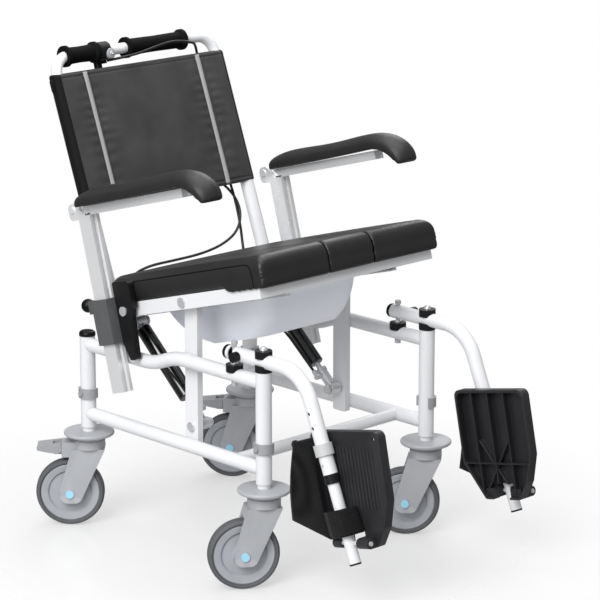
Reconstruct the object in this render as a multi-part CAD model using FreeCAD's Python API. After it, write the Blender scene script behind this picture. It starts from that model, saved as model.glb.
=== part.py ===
import FreeCAD, Part
import math
import os

# Tilting shower commode wheelchair, in millimetres. +Z is up, the sitter faces -Y and +X is the
# sitter's left. The origin is on the floor, midway between the four legs.

Vec = FreeCAD.Vector
axis_x = Vec(1, 0, 0)
axis_y = Vec(0, 1, 0)
axis_z = Vec(0, 0, 1)

# Fits
running_gap = 0.08        # pin in its bore
sliding_gap = 0.3         # tube in tube, and soft pieces beside hard ones
swing_gap = 0.5           # faces that pass each other

# Base frame
track = 400.0             # between leg axes, across
wheelbase = 465.0         # between leg axes, front to back
leg_od = 28.0
leg_wall = 2.0
leg_bottom = 186.0
front_leg_top = 384.0
rear_leg_top = 357.0
rail_od = 25.0
rail_wall = 1.5
lower_rail_z = 211.0
upper_rail_z = 364.0
upper_rail_drop = 23.0    # joggle that makes room for the tilting seat
joggle_front_y = -9.0
joggle_rear_y = 49.0
joggle_radius = 150.0
cross_tube_y = -160.0
cross_tube_od = 22.0
post_width = 32.0
post_thickness = 12.0
post_bottom = 195.0
post_top_radius = 11.0
cap_height = 9.0
clip_z = 250.0
clip_height = 18.0
clip_wall = 4.0
clip_opening = 110.0      # degrees of the clip's mouth
clip_button_radius = 5.0

# Casters
wheel_diameter = 125.0
tyre_depth = 9.0
tyre_width = 27.0
wheel_step_radius = 41.0  # where the rim steps down to the web
hub_radius = 17.0
web_thickness = 12.0
axle_radius = 4.0
axle_cap_radius = 7.5
axle_cap_height = 2.5
caster_trail = 36.0
fork_half_width = 23.0
fork_gap = 2.0            # beside and above the tyre
neck_radius = 29.0
fork_top = 170.7
fork_shoulder_z = 147.0
fork_foot_radius = 18.0
stem_top = 335.0
swivel_pin_radius = 6.0
swivel_pin_bottom = 136.0
disc_radius = 46.0
disc_bottom = 171.0
disc_top = 178.0
brake_arm_reach = 50.0
brake_arm_half_width = 17.0
pedal_length = 45.0
pedal_pin_radius = 3.0
caster_headings = {"front_right": 146.0, "rear_right": 137.0, "front_left": 132.0, "rear_left": 128.0}

# Tilting seat unit, drawn level about the tilt pivot and then turned by the rest tilt
pivot_y = -35.0
pivot_z = 469.0
rest_tilt = 15.7
pivot_radius = 6.0
seat_rail_x = 198.0
seat_rail_width = 20.0
seat_rail_height = 25.0
seat_rail_wall = 2.0
seat_front = -205.0       # front face of the seat frame
cross_member_depth = 20.0
back_tube_x = 190.0
back_tube_od = 25.0
back_tube_wall = 1.5
back_foot = 207.0         # back tube axis at seat level
back_lean = 4.7
bar_seat_length = 25.0    # push bar held inside the back tubes
push_bar_od = 20.0
push_bar_wall = 1.5
push_bar_height = 464.0
push_bar_radius = 34.0
rear_tube_height = 47.0   # rear cross tube, behind the pad

# Upholstery
pad_half_width = 214.0
pad_front = -224.0
pad_rear = 193.0
pad_thickness = 46.0
pad_corner = 26.0
nose_depth = 9.0          # how far the front edge hangs below the pad
skirt_length = 96.0       # front of the sides that hangs as low
skirt_slope = 14.0        # its slanting rear end
neck_half_width = 54.0    # insert at the front gap
bowl_half_width = 92.0    # insert over the pan
bowl_front = -95.0
bowl_rear = 112.0
insert_gap = 0.6
cover_bottom = 182.0
cover_headroom = 30.0     # cover's top edge, below the push bar
cover_half_width = 205.0
cover_sag = 8.0
cover_thickness = 17.0

# Commode pan
pan_top_half_width = 121.0
pan_bottom_half_width = 102.0
pan_top_front = -112.0
pan_top_rear = 168.0
pan_bottom_front = -62.0
pan_bottom_rear = 82.0
pan_depth = 74.0
pan_wall = 2.5
pan_rim = 11.0
pan_corner = 34.0
runner_thickness = 3.0
runner_lip = 9.0
runner_rear = 190.0
runner_tabs = (-80.0, 100.0)
runner_tab_width = 26.0

# Armrests
post_x = 232.0
arm_post_depth = 32.0     # front to back
arm_post_width = 22.0
arm_post_wall = 2.5
arm_post_u = 177.0
arm_post_bottom = -141.0
groove_width = 8.0
groove_depth = 3.5
sleeve_wall = 5.0
sleeve_bottom = -54.0
sleeve_top = 27.0
lug_length = 18.0
lug_height = 24.0
plunger_pin_radius = 4.0
plunger_ball_radius = 12.5
plunger_height = 19.0
bracket_boss_radius = 11.0
bracket_bolt_radius = 4.0
bracket_bolt_u = 138.0
bracket_front = 120.0
bracket_foot = (130.0, 144.0)
bracket_drop = 88.0
bracket_thickness = 13.0
guard_front = 112.0
guard_top = 53.0
arm_post_travel = 70.0
arm_hinge_u = 206.0
arm_hinge_w = 191.0
arm_hinge_rise = 13.0     # hinge above the post's top
arm_hinge_radius = 11.0
arm_bar_height = 16.0
arm_bar_front = -96.0
arm_pad_width = 52.0
arm_pad_offset = 3.5      # outboard of the post

# Gas springs
spring_x = 160.0
spring_lower_z = 241.0
spring_upper_u = 185.0
spring_upper_w = -27.0
cylinder_radius = 13.5
cylinder_start = 58.0     # from the lower pivot, at rest
spring_rod_radius = 5.0
spring_pin_radius = 5.0
spring_eye_radius = 12.0
open_pivot_gap = 2.2      # the linkage is open here
release_head_length = 44.0
adjuster_setback = 14.0   # cable socket, below the head's top
adjuster_offset = 18.0    # cable, inboard of the spring

# Footrests
hanger_od = 25.0
hanger_wall = 2.0
hanger_z = 402.0
hanger_rear_y = -149.0
hanger_slope = 22.5       # lower run, from vertical
hanger_corner_y = -327.4
hanger_radius = 75.0
hanger_reach = 175.0      # from the bend's corner to the lower end
latch_pin_y = -160.0
latch_pin_radius = 4.0
knob_setback = 20.0       # in front of the latch pin, clear of it as the hanger swings
knob_stem_radius = 3.5
knob_radius = 9.0
knob_length = 11.0
saddle_radius = 15.0
saddle_height = 13.0
stud_radius = 4.0
ring_height = 20.0
clip_reach = 52.0         # clip above the lower end
strap_arm_radius = 5.0
strap_arm_length = 64.0
adjuster_holes = (70.0, 95.0, 160.0)
adjuster_hole_radius = 3.0
collar_height = 16.0
foot_tube_insert = 60.0   # length held inside the hanger
foot_hinge_reach = 293.0
foot_tip_reach = 328.0
foot_pin_radius = 4.0
plate_toe_up = 12.0
plate_offset = 15.0       # tread face, inboard of the hinge pin
plate_thickness = 17.0
plate_wall = 3.5
plate_front = 88.0
plate_rear = 75.0
plate_height = 185.0
plate_foot = 10.0
plate_waist = 55.0        # where the outline narrows towards the hinge
plate_rib_pitch = 38.0
plate_hinge_front = 50.0
plate_hinge_rear = 32.0
knuckle_radius = 9.0
tread_rib_pitch = 8.0
tread_rib_count = 16
tread_margin = 26.0       # tread ribs, inside the plate's top and sides
plate_hole_radius = 2.5
strap_width = 44.0
strap_thickness = 2.6
strap_foot = (34.0, 116.0)  # lower corners of the web, behind the foot tube
strap_band_width = 46.0
strap_band_rise = 58.0     # band's top edge, above the footplate's hinge

# Push grips, tilt lever and release cables
grip_radius = 15.5
grip_flange_radius = 19.5
near_grip = (-165.0, -92.0)
far_grip = (-22.0, 118.0)
clamp_x = -77.0
clamp_width = 22.0
clamp_radius = 17.0
lever_length = 66.0
cable_radius = 2.5
cable_spout_radius = 7.5
side_spout_radius = 4.5
side_spout_length = 17.0  # for the far cable
side_spout_turn = -41.0   # degrees, from across the chair towards the front


def box(low, high):
    size = high - low
    return Part.makeBox(size.x, size.y, size.z, low)


def rod(start, end, radius):
    along = end - start
    return Part.makeCylinder(radius, along.Length, start, along)


def straight_tube(start, end, outer_diameter, wall):
    outer = rod(start, end, outer_diameter / 2)
    return outer.cut(rod(start, end, outer_diameter / 2 - wall))


def bent_path(points, radii):
    """Straight runs joined by tangent arcs, one radius for each inner point."""
    edges = []
    start = points[0]
    for before, corner, after, radius in zip(points, points[1:], points[2:], radii):
        back = (before - corner).normalize()
        ahead = (after - corner).normalize()
        half = back.getAngle(ahead) / 2
        reach = radius / math.tan(half)
        middle = corner + (back + ahead).normalize() * (radius / math.sin(half) - radius)
        edges.append(Part.LineSegment(start, corner + back * reach).toShape())
        edges.append(Part.Arc(corner + back * reach, middle, corner + ahead * reach).toShape())
        start = corner + ahead * reach
    edges.append(Part.LineSegment(start, points[-1]).toShape())
    return Part.Wire(edges)


def sweep(path, radius):
    first = path.Edges[0]
    ring = Part.makeCircle(radius, first.valueAt(first.FirstParameter),
                           first.tangentAt(first.FirstParameter))
    return path.makePipeShell([Part.Wire(ring)], True, False)


def bent_tube(path, outer_diameter, wall):
    return sweep(path, outer_diameter / 2).cut(sweep(path, outer_diameter / 2 - wall))


def rounded_wire(corners, radii):
    """Closed outline with every corner rounded by its own radius (0 keeps it sharp)."""
    edges = []
    count = len(corners)
    first_points = []
    last_points = []
    middles = []
    for i, corner in enumerate(corners):
        back = (corners[i - 1] - corner).normalize()
        ahead = (corners[(i + 1) % count] - corner).normalize()
        half = back.getAngle(ahead) / 2
        reach = radii[i] / math.tan(half)
        first_points.append(corner + back * reach)
        last_points.append(corner + ahead * reach)
        middles.append(corner + (back + ahead).normalize() * (radii[i] / math.sin(half) - radii[i]))
    for i in range(count):
        if radii[i] > 0:
            edges.append(Part.Arc(first_points[i], middles[i], last_points[i]).toShape())
        edges.append(Part.LineSegment(last_points[i], first_points[(i + 1) % count]).toShape())
    return Part.Wire(edges)


def side_plate(outline, radii, x_low, x_high):
    """A plate whose outline is drawn in the side view as (y, z) pairs."""
    corners = [Vec(x_low, y, z) for y, z in outline]
    return Part.Face(rounded_wire(corners, radii)).extrude(Vec(x_high - x_low, 0, 0))


def rounded_rectangle(x_half, y_low, y_high, z, radius):
    corners = [Vec(-x_half, y_low, z), Vec(x_half, y_low, z), Vec(x_half, y_high, z), Vec(-x_half, y_high, z)]
    return rounded_wire(corners, [radius] * 4)


def revolve(profile, centre, axis):
    """Turns a closed list of points, in a plane through the axis, right round."""
    wire = Part.makePolygon(profile + [profile[0]])
    return Part.Face(wire).revolve(centre, axis, 360)


def mirrored(shape):
    return shape.mirror(Vec(0, 0, 0), axis_x)


def both_sides(shapes):
    return shapes + [mirrored(shape) for shape in shapes]


def fuse(first, *others):
    return first.multiFuse(list(others)).removeSplitter()


def save(name, solids):
    for solid in solids:
        if not solid.isValid() or len(solid.Solids) != 1:
            print("check", name, solid.isValid(), len(solid.Solids))
    Part.makeCompound([solid.Solids[0] for solid in solids]).exportStep("parts/%s.step" % name)


def seat(x, u, w):
    """A point of the level seat unit: u rearward and w upward from the tilt pivot."""
    return Vec(x, pivot_y + u, pivot_z + w)


def tilted(shape):
    turned = shape.copy()
    turned.rotate(seat(0, 0, 0), axis_x, -rest_tilt)
    return turned


def save_tilted(name, solids):
    save(name, [tilted(solid) for solid in solids])


def back_axis(w):
    """Rearward place of the back tubes' axis at a height above the pivot."""
    return back_foot + w * math.tan(math.radians(back_lean))


# Values that several pieces share
leg_x = track / 2
leg_y = wheelbase / 2
leg_bore = leg_od / 2 - leg_wall
post_outer_x = leg_x - rail_od / 2
post_inner_x = post_outer_x - post_thickness
wheel_radius = wheel_diameter / 2
rim_radius = wheel_radius - tyre_depth
rail_top = seat_rail_height / 2
pad_bottom = rail_top + sliding_gap
pad_top = pad_bottom + pad_thickness
back_top = push_bar_height - push_bar_radius - 2
cover_top = push_bar_height - cover_headroom
arm_post_top = arm_hinge_w - arm_hinge_rise
spring_low = Vec(-spring_x, pivot_y, spring_lower_z)
hanger_down = Vec(0, -math.sin(math.radians(hanger_slope)), -math.cos(math.radians(hanger_slope)))
hanger_corner = Vec(-leg_x, hanger_corner_y, hanger_z)
hanger_rear_way = Vec(0, -hanger_down.z, hanger_down.y)
bearing_top = front_leg_top + 2.5


def hanger_point(reach):
    """A point on the lower run of the right hanger, measured from the bend's corner."""
    return hanger_corner + hanger_down * reach


def upper_rail_path(x):
    rear_z = upper_rail_z - upper_rail_drop
    points = [Vec(x, -leg_y, upper_rail_z), Vec(x, joggle_front_y, upper_rail_z),
              Vec(x, joggle_rear_y, rear_z), Vec(x, leg_y, rear_z)]
    return bent_path(points, [joggle_radius, joggle_radius])


def saddle(centre, tube_z, tube_radius, low, high):
    """A round block hollowed to sit on a fore-and-aft tube."""
    block = rod(Vec(centre.x, centre.y, low), Vec(centre.x, centre.y, high), saddle_radius)
    reach = Vec(0, saddle_radius * 2, 0)
    tube_axis = Vec(centre.x, centre.y, tube_z)
    return block.cut(rod(tube_axis - reach, tube_axis + reach, tube_radius))


def base_frame():
    legs = []
    caps = []
    clips = []
    for x in (-leg_x, leg_x):
        for y, top in ((-leg_y, front_leg_top), (leg_y, rear_leg_top)):
            leg = straight_tube(Vec(x, y, leg_bottom), Vec(x, y, top), leg_od, leg_wall)
            button_end = Vec(x + math.copysign(leg_od, x), y, clip_z)
            button = rod(Vec(x, y, clip_z), button_end, clip_button_radius)
            legs.append(leg.cut(button))
            clips.append(height_clip(x, y))
        cap = Part.makeCylinder(leg_od / 2 + 1, cap_height, Vec(x, leg_y, rear_leg_top))
        caps.append(cap.makeFillet(cap_height * 0.6, [cap.Edges[0]]))
    save("leg_tubes", legs)
    save("height_clips", clips)

    rails = []
    for x in (-leg_x, leg_x):
        leg_cores = [rod(Vec(x, y, leg_bottom), Vec(x, y, front_leg_top), leg_od / 2) for y in (-leg_y, leg_y)]
        lower = straight_tube(Vec(x, -leg_y, lower_rail_z), Vec(x, leg_y, lower_rail_z), rail_od, rail_wall)
        upper = bent_tube(upper_rail_path(x), rail_od, rail_wall)
        pin_hole = rod(Vec(x, latch_pin_y, upper_rail_z - rail_od), Vec(x, latch_pin_y, upper_rail_z + rail_od),
                       latch_pin_radius)
        rails.append(lower.cut(leg_cores[0]).cut(leg_cores[1]))
        rails.append(upper.cut(leg_cores[0]).cut(leg_cores[1]).cut(pin_hole))
    cross = straight_tube(Vec(-leg_x, cross_tube_y, lower_rail_z), Vec(leg_x, cross_tube_y, lower_rail_z),
                          cross_tube_od, rail_wall)
    for x in (-leg_x, leg_x):
        cross = cross.cut(rod(Vec(x, -leg_y, lower_rail_z), Vec(x, leg_y, lower_rail_z), rail_od / 2))
    save("side_rails", rails + [cross])

    half = post_width / 2
    outline = [(pivot_y - half, post_bottom), (pivot_y + half, post_bottom), (pivot_y + half, pivot_z - half),
               (pivot_y + post_top_radius, pivot_z + post_top_radius),
               (pivot_y - post_top_radius, pivot_z + post_top_radius), (pivot_y - half, pivot_z - half)]
    radii = [4, 4, 10, post_top_radius * 0.9, post_top_radius * 0.9, 10]
    post = side_plate(outline, radii, -post_outer_x, -post_inner_x)
    for z in (pivot_z, spring_lower_z):
        radius = pivot_radius + running_gap if z == pivot_z else spring_pin_radius
        post = post.cut(rod(Vec(-leg_x, pivot_y, z), Vec(0, pivot_y, z), radius))
    save("tilt_posts", both_sides([post]))

    bearing = rod(Vec(-leg_x, -leg_y, front_leg_top), Vec(-leg_x, -leg_y, bearing_top), saddle_radius)
    stud_core = rod(Vec(-leg_x, -leg_y, front_leg_top), Vec(-leg_x, -leg_y, hanger_z + hanger_od), stud_radius)
    saddle_z = upper_rail_z + rail_od / 2
    rail_saddle = saddle(Vec(-leg_x, latch_pin_y, 0), upper_rail_z, rail_od / 2,
                         saddle_z - saddle_height / 2, saddle_z + saddle_height / 2)
    pin_core = rod(Vec(-leg_x, latch_pin_y, upper_rail_z), Vec(-leg_x, latch_pin_y, hanger_z), latch_pin_radius)
    saddles = both_sides([bearing.cut(stud_core), rail_saddle.cut(pin_core)])
    save("leg_caps", caps + saddles)
    save("frame_bolts", both_sides(frame_bolts()))


def height_clip(x, y):
    """A split ring that snaps round the leg, with the button that locks the stem."""
    outward = math.copysign(1, x)
    low = Vec(x, y, clip_z - clip_height / 2)
    inner = leg_od / 2
    ring = Part.makeCylinder(inner + clip_wall, clip_height, low)
    ring = ring.cut(Part.makeCylinder(inner, clip_height, low))
    mouth = Part.makeCylinder(leg_od, clip_height, low, axis_z, clip_opening)
    start = 180 - clip_opening / 2 if outward > 0 else -clip_opening / 2
    mouth.rotate(low, axis_z, start)
    tip = Vec(x + outward * (inner + clip_wall + 2), y, clip_z)
    button = rod(Vec(x + outward * leg_bore, y, clip_z), tip, clip_button_radius)
    return fuse(ring.cut(mouth), button)


def frame_bolts():
    """Right-hand bolts of the base: spring pivot, tilt pivot, hanger stud and latch pin."""
    head = 4.0
    inner_end = -spring_x + cylinder_radius
    spring_bolt = fuse(
        rod(Vec(-post_outer_x - head, pivot_y, spring_lower_z), Vec(inner_end, pivot_y, spring_lower_z),
            spring_pin_radius),
        rod(Vec(-post_outer_x - head, pivot_y, spring_lower_z), Vec(-post_outer_x, pivot_y, spring_lower_z),
            spring_pin_radius + 3.5),
        rod(Vec(inner_end, pivot_y, spring_lower_z), Vec(inner_end + head, pivot_y, spring_lower_z),
            spring_pin_radius + 2.5))
    stud_base = Vec(-leg_x, -leg_y, front_leg_top - 20)
    stud_top = Vec(-leg_x, -leg_y, hanger_z + hanger_od / 2 + saddle_height / 2 + sliding_gap)
    plug = rod(stud_base, Vec(-leg_x, -leg_y, front_leg_top), leg_bore)
    dome = Part.makeSphere(stud_radius + 3, stud_top, axis_z, 0, 90, 360)
    stud = fuse(plug, rod(stud_base, stud_top, stud_radius), dome)
    pin_low = Vec(-leg_x, latch_pin_y, upper_rail_z - rail_od / 2 - 7)
    pin_high = Vec(-leg_x, latch_pin_y, hanger_z + hanger_od / 2 + 9)
    collar_z = upper_rail_z + rail_od / 2 + saddle_height / 2
    latch_pin = fuse(
        rod(pin_low, pin_high, latch_pin_radius),
        rod(pin_low, pin_low + axis_z * 7, latch_pin_radius + 1.5).cut(
            rod(pin_low, pin_low + axis_z * 7, latch_pin_radius)),
        rod(Vec(-leg_x, latch_pin_y, collar_z), Vec(-leg_x, latch_pin_y, collar_z + 2.5), latch_pin_radius + 3),
        rod(pin_high - axis_z * 6, pin_high, latch_pin_radius + 1.5))
    return [spring_bolt, stud, latch_pin]


def placed_caster(shape, x, y, heading):
    turned = shape.copy()
    turned.rotate(Vec(0, 0, 0), axis_z, heading)
    turned.translate(Vec(x, y, 0))
    return turned


def caster_fork(with_brake):
    """Fork housing drawn with its swivel axis at the origin and its wheel trailing along +X."""
    foot = wheel_radius - fork_foot_radius
    outline = [(-neck_radius, fork_top), (-neck_radius, fork_shoulder_z),
               (caster_trail - fork_foot_radius, foot), (caster_trail + fork_foot_radius, foot),
               (caster_trail + fork_foot_radius, wheel_radius + 10), (neck_radius, fork_shoulder_z + 8),
               (neck_radius, fork_top)]
    radii = [0, 12, fork_foot_radius * 0.8, fork_foot_radius * 0.8, 10, 12, 0]
    corners = [Vec(x, -fork_half_width, z) for x, z in outline]
    arms = Part.Face(rounded_wire(corners, radii)).extrude(Vec(0, 2 * fork_half_width, 0))
    neck = Part.makeCylinder(neck_radius, fork_top - fork_shoulder_z, Vec(0, 0, fork_shoulder_z))
    groove = neck.common(box(Vec(-99, -99, fork_top - 8), Vec(99, 99, fork_top - 6.5)))
    groove = groove.cut(Part.makeCylinder(neck_radius - 1, fork_top))
    below_neck = box(Vec(-99, -99, 0), Vec(99, 99, fork_shoulder_z))
    neck_space = Part.makeCylinder(neck_radius, fork_top).fuse(below_neck)
    body = fuse(arms.common(neck_space), neck)
    if with_brake:
        arm_low = wheel_diameter + fork_gap * 3
        half = brake_arm_half_width
        arm = box(Vec(0, -half, arm_low), Vec(brake_arm_reach, half, fork_top - 12))
        tongue = box(Vec(0, -half / 2, arm_low + 4), Vec(brake_arm_reach + 14, half / 2, fork_top - 20))
        pin_centre = pedal_pin_place()
        hole = rod(pin_centre - axis_y * half, pin_centre + axis_y * half, pedal_pin_radius + running_gap)
        body = fuse(body, arm, tongue).cut(hole)
    gap = tyre_width / 2 + fork_gap
    wheel_room = rod(Vec(caster_trail, -gap, wheel_radius), Vec(caster_trail, gap, wheel_radius),
                     wheel_radius + 2 * fork_gap)
    low_room = box(Vec(-99, -gap, 0), Vec(199, gap, wheel_diameter - 12))
    bore = rod(Vec(0, 0, swivel_pin_bottom - 1), Vec(0, 0, fork_top), swivel_pin_radius + running_gap)
    axle_hole = rod(Vec(caster_trail, -99, wheel_radius), Vec(caster_trail, 99, wheel_radius), axle_radius)
    return body.cut(groove).cut(wheel_room).cut(low_room).cut(bore).cut(axle_hole)


def pedal_pin_place():
    return Vec(brake_arm_reach + 7, 0, fork_top - 27)


def caster_axle():
    """Axle with a domed cap at each end."""
    shaft = rod(Vec(caster_trail, -fork_half_width, wheel_radius),
                Vec(caster_trail, fork_half_width, wheel_radius), axle_radius)
    caps = []
    for side in (-1, 1):
        face = Vec(caster_trail, side * fork_half_width, wheel_radius)
        cap = rod(face, face + axis_y * (side * axle_cap_height), axle_cap_radius)
        caps.append(cap)
    return fuse(shaft, *caps)


def caster_wheel():
    """Wheel disc turned from its half section: hub, dished web and stepped rim."""
    half = tyre_width / 2 - 1
    web = web_thickness / 2
    section = [(axle_radius + running_gap, half), (hub_radius, half), (hub_radius + 4, web + 2),
               (wheel_step_radius - 3, web), (wheel_step_radius, half - 3), (rim_radius - 2, half - 1.5),
               (rim_radius, half - 3)]
    outline = [Vec(caster_trail, y, wheel_radius + r) for r, y in section]
    outline += [Vec(caster_trail, -y, wheel_radius + r) for r, y in reversed(section)]
    return revolve(outline, Vec(caster_trail, 0, wheel_radius), axis_y)


def caster_tyre():
    half = tyre_width / 2
    shoulder = 4.0
    section = [(rim_radius, half - 3.5), (rim_radius + 2.5, half), (wheel_radius - shoulder, half),
               (wheel_radius - 1, half - shoulder), (wheel_radius, half - 2 * shoulder)]
    outline = [Vec(caster_trail, y, wheel_radius + r) for r, y in section]
    outline += [Vec(caster_trail, -y, wheel_radius + r) for r, y in reversed(section)]
    return revolve(outline, Vec(caster_trail, 0, wheel_radius), axis_y)


def brake_pedal():
    """Foot pedal hinged on the brake arm's tongue."""
    start = brake_arm_reach + swing_gap
    end = brake_arm_reach + pedal_length
    top = fork_top - 13
    outline = [(start, top), (end, top - 5), (end, top - 13), (end - 18, top - 17), (start + 8, top - 20),
               (start, top - 16)]
    corners = [Vec(x, -brake_arm_half_width, z) for x, z in outline]
    body = Part.Face(rounded_wire(corners, [2, 3, 3, 4, 4, 2])).extrude(Vec(0, 2 * brake_arm_half_width, 0))
    slot_half = brake_arm_half_width / 2 + swing_gap
    slot = box(Vec(0, -slot_half, 0), Vec(brake_arm_reach + 16, slot_half, fork_top))
    centre = pedal_pin_place()
    reach = axis_y * brake_arm_half_width
    return fuse(body.cut(slot), rod(centre - reach, centre + reach, pedal_pin_radius))


def casters():
    stems = []
    discs = []
    for name, heading in caster_headings.items():
        x = -leg_x if name.endswith("right") else leg_x
        y = -leg_y if name.startswith("front") else leg_y
        braked = name.startswith("rear")
        housing = (caster_fork(braked), caster_axle())
        save("fork_" + name, [placed_caster(piece, x, y, heading) for piece in housing])
        save("wheel_" + name, [placed_caster(caster_wheel(), x, y, heading)])
        save("tyre_" + name, [placed_caster(caster_tyre(), x, y, heading)])
        if braked:
            save("brake_pedal_" + name, [placed_caster(brake_pedal(), x, y, heading)])
        shank = rod(Vec(x, y, disc_top), Vec(x, y, stem_top), leg_bore - sliding_gap)
        pin = rod(Vec(x, y, swivel_pin_bottom), Vec(x, y, disc_top), swivel_pin_radius)
        outward = math.copysign(1, x)
        socket = rod(Vec(x, y, clip_z), Vec(x + outward * leg_od, y, clip_z), clip_button_radius)
        stems.append(fuse(shank, pin).cut(socket.cut(Part.makeCylinder(leg_bore - 5, stem_top, Vec(x, y, 0)))))
        disc = Part.makeCylinder(disc_radius, disc_top - disc_bottom, Vec(x, y, disc_bottom))
        disc = disc.makeFillet((disc_top - disc_bottom) * 0.42, [disc.Edges[0], disc.Edges[2]])
        discs.append(disc.cut(rod(Vec(x, y, disc_bottom), Vec(x, y, disc_top), swivel_pin_radius)))
    save("leg_stems", stems)
    save("bumper_discs", discs)


def seat_frame():
    inner_x = seat_rail_x - seat_rail_width / 2
    outer_x = seat_rail_x + seat_rail_width / 2
    back_core = rod(seat(-back_tube_x, back_axis(-rail_top), -rail_top), seat(-back_tube_x, back_axis(99), 99),
                    back_tube_od / 2)
    rail = box(seat(-outer_x, seat_front, -rail_top), seat(-inner_x, back_foot, rail_top))
    hollow = box(seat(-outer_x + seat_rail_wall, seat_front + seat_rail_wall, -rail_top + seat_rail_wall),
                 seat(-inner_x - seat_rail_wall, back_foot - back_tube_od, rail_top - seat_rail_wall))
    pivot_hole = rod(seat(-outer_x, 0, 0), seat(-inner_x, 0, 0), pivot_radius)
    rail = rail.cut(hollow).cut(pivot_hole).cut(back_core)
    bolt_hole = rod(seat(-outer_x, bracket_bolt_u, 0), seat(-inner_x, bracket_bolt_u, 0), bracket_bolt_radius)
    rail = rail.cut(bolt_hole)
    front = box(seat(-inner_x, seat_front, -rail_top), seat(inner_x, seat_front + cross_member_depth, rail_top))
    inside_rear = seat_front + cross_member_depth - seat_rail_wall
    front = front.cut(box(seat(-inner_x, seat_front + seat_rail_wall, -rail_top + seat_rail_wall),
                          seat(inner_x, inside_rear, rail_top - seat_rail_wall)))
    rear_u = back_axis(rear_tube_height)
    rear = straight_tube(seat(-back_tube_x, rear_u, rear_tube_height),
                         seat(back_tube_x, rear_u, rear_tube_height), push_bar_od, push_bar_wall)
    rear = rear.cut(back_core).cut(mirrored(back_core))
    runner_top = -rail_top - sliding_gap
    lip_x = pan_top_half_width + pan_rim + sliding_gap
    front_end = seat_front + cross_member_depth
    ledge_top = runner_top - pan_wall - 2 * sliding_gap
    wall = box(seat(-lip_x - runner_thickness, front_end, ledge_top - runner_thickness),
               seat(-lip_x, runner_rear, rail_top / 2))
    ledge = box(seat(-lip_x, front_end, ledge_top - runner_thickness),
                seat(-lip_x + runner_lip, runner_rear, ledge_top))
    tab_end_x = -lip_x - runner_thickness
    tabs = [box(seat(-inner_x, u, -rail_top), seat(tab_end_x, u + runner_tab_width, -rail_top + runner_thickness))
            for u in runner_tabs]
    save_tilted("seat_frame", both_sides([rail, fuse(wall, ledge)] + tabs) + [front, rear])


def back_frame():
    def along(x, w):
        return seat(x, back_axis(w), w)
    tubes = [straight_tube(along(x, -rail_top), along(x, back_top), back_tube_od, back_tube_wall)
             for x in (-back_tube_x, back_tube_x)]
    bar_foot = back_top - bar_seat_length
    bore = back_tube_od - 2 * back_tube_wall
    path = bent_path([along(-back_tube_x, bar_foot), along(-back_tube_x, push_bar_height),
                      along(back_tube_x, push_bar_height), along(back_tube_x, bar_foot)],
                     [push_bar_radius, push_bar_radius])
    bar = bent_tube(path, push_bar_od, push_bar_wall)
    ferrules = []
    for x in (-back_tube_x, back_tube_x):
        ferrule = straight_tube(along(x, bar_foot), along(x, back_top), bore, (bore - push_bar_od) / 2)
        ferrules.append(ferrule)
    save_tilted("back_tubes", tubes + ferrules)
    save_tilted("push_bar", [bar])

    bar_u = back_axis(push_bar_height)
    grips = []
    for start, end in (near_grip, far_grip):
        length = end - start
        section = [(push_bar_od / 2, 0), (grip_flange_radius, 0), (grip_flange_radius, 6), (grip_radius, 10),
                   (grip_radius - 0.8, length / 2), (grip_radius, length - 10), (grip_flange_radius, length - 6),
                   (grip_flange_radius, length), (push_bar_od / 2, length)]
        outline = [seat(start + along_bar, bar_u, push_bar_height + radius) for radius, along_bar in section]
        grips.append(revolve(outline, seat(start, bar_u, push_bar_height), axis_x))
    save_tilted("push_grips", grips)


def lever_pivot():
    return seat(clamp_x - 4, back_axis(push_bar_height) + clamp_radius + 9, push_bar_height - 3)


def side_spout(reach):
    """A place along the clamp's second spout, as level seat unit values."""
    turn = math.radians(side_spout_turn)
    spout_u = back_axis(push_bar_height) + clamp_radius
    return (clamp_x + reach * math.cos(turn), spout_u + reach * math.sin(turn),
            push_bar_height - clamp_radius - 1)


def tilt_lever():
    """Lever clamp on the push bar and the squeeze lever behind the near grip."""
    centre = seat(clamp_x, back_axis(push_bar_height), push_bar_height)
    half = axis_x * (clamp_width / 2)
    ring = rod(centre - half, centre + half, clamp_radius)
    pivot = lever_pivot()
    horn = box(Vec(centre.x - clamp_width / 2, centre.y, centre.z - 12),
               Vec(centre.x + clamp_width / 2, pivot.y + 7, centre.z + 8))
    spout_top = centre + axis_y * clamp_radius
    spout = rod(spout_top, spout_top - axis_z * (clamp_radius + 12), cable_spout_radius)
    side_base = seat(*side_spout(0))
    side_tube = rod(side_base, seat(*side_spout(side_spout_length)), side_spout_radius)
    bar_core = rod(centre - half * 2, centre + half * 2, push_bar_od / 2)
    slot = box(Vec(centre.x - clamp_width, pivot.y - 8, pivot.z - 4.5),
               Vec(centre.x + clamp_width / 2 - 5, pivot.y + 8, pivot.z + 4.5))
    pin_hole = rod(pivot - axis_z * 20, pivot + axis_z * 20, 2.5)
    clamp = fuse(ring, horn, spout, side_tube).cut(bar_core).cut(slot)
    save_tilted("lever_clamp", [clamp.cut(pin_hole), rod(pivot - axis_z * 8.5, pivot + axis_z * 11, 2.5)])
    outline = [Vec(pivot.x + 6, pivot.y - 6, pivot.z - 4), Vec(pivot.x + 6, pivot.y + 6, pivot.z - 4),
               Vec(pivot.x - 30, pivot.y + 8, pivot.z - 4),
               Vec(pivot.x - lever_length, pivot.y + 16, pivot.z - 4),
               Vec(pivot.x - lever_length, pivot.y + 7, pivot.z - 4), Vec(pivot.x - 30, pivot.y, pivot.z - 4)]
    blade = Part.Face(rounded_wire(outline, [3, 3, 20, 4, 4, 20])).extrude(axis_z * 8)
    save_tilted("tilt_lever", [blade.cut(rod(pivot - axis_z * 9, pivot + axis_z * 9, 2.5 + running_gap))])


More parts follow.
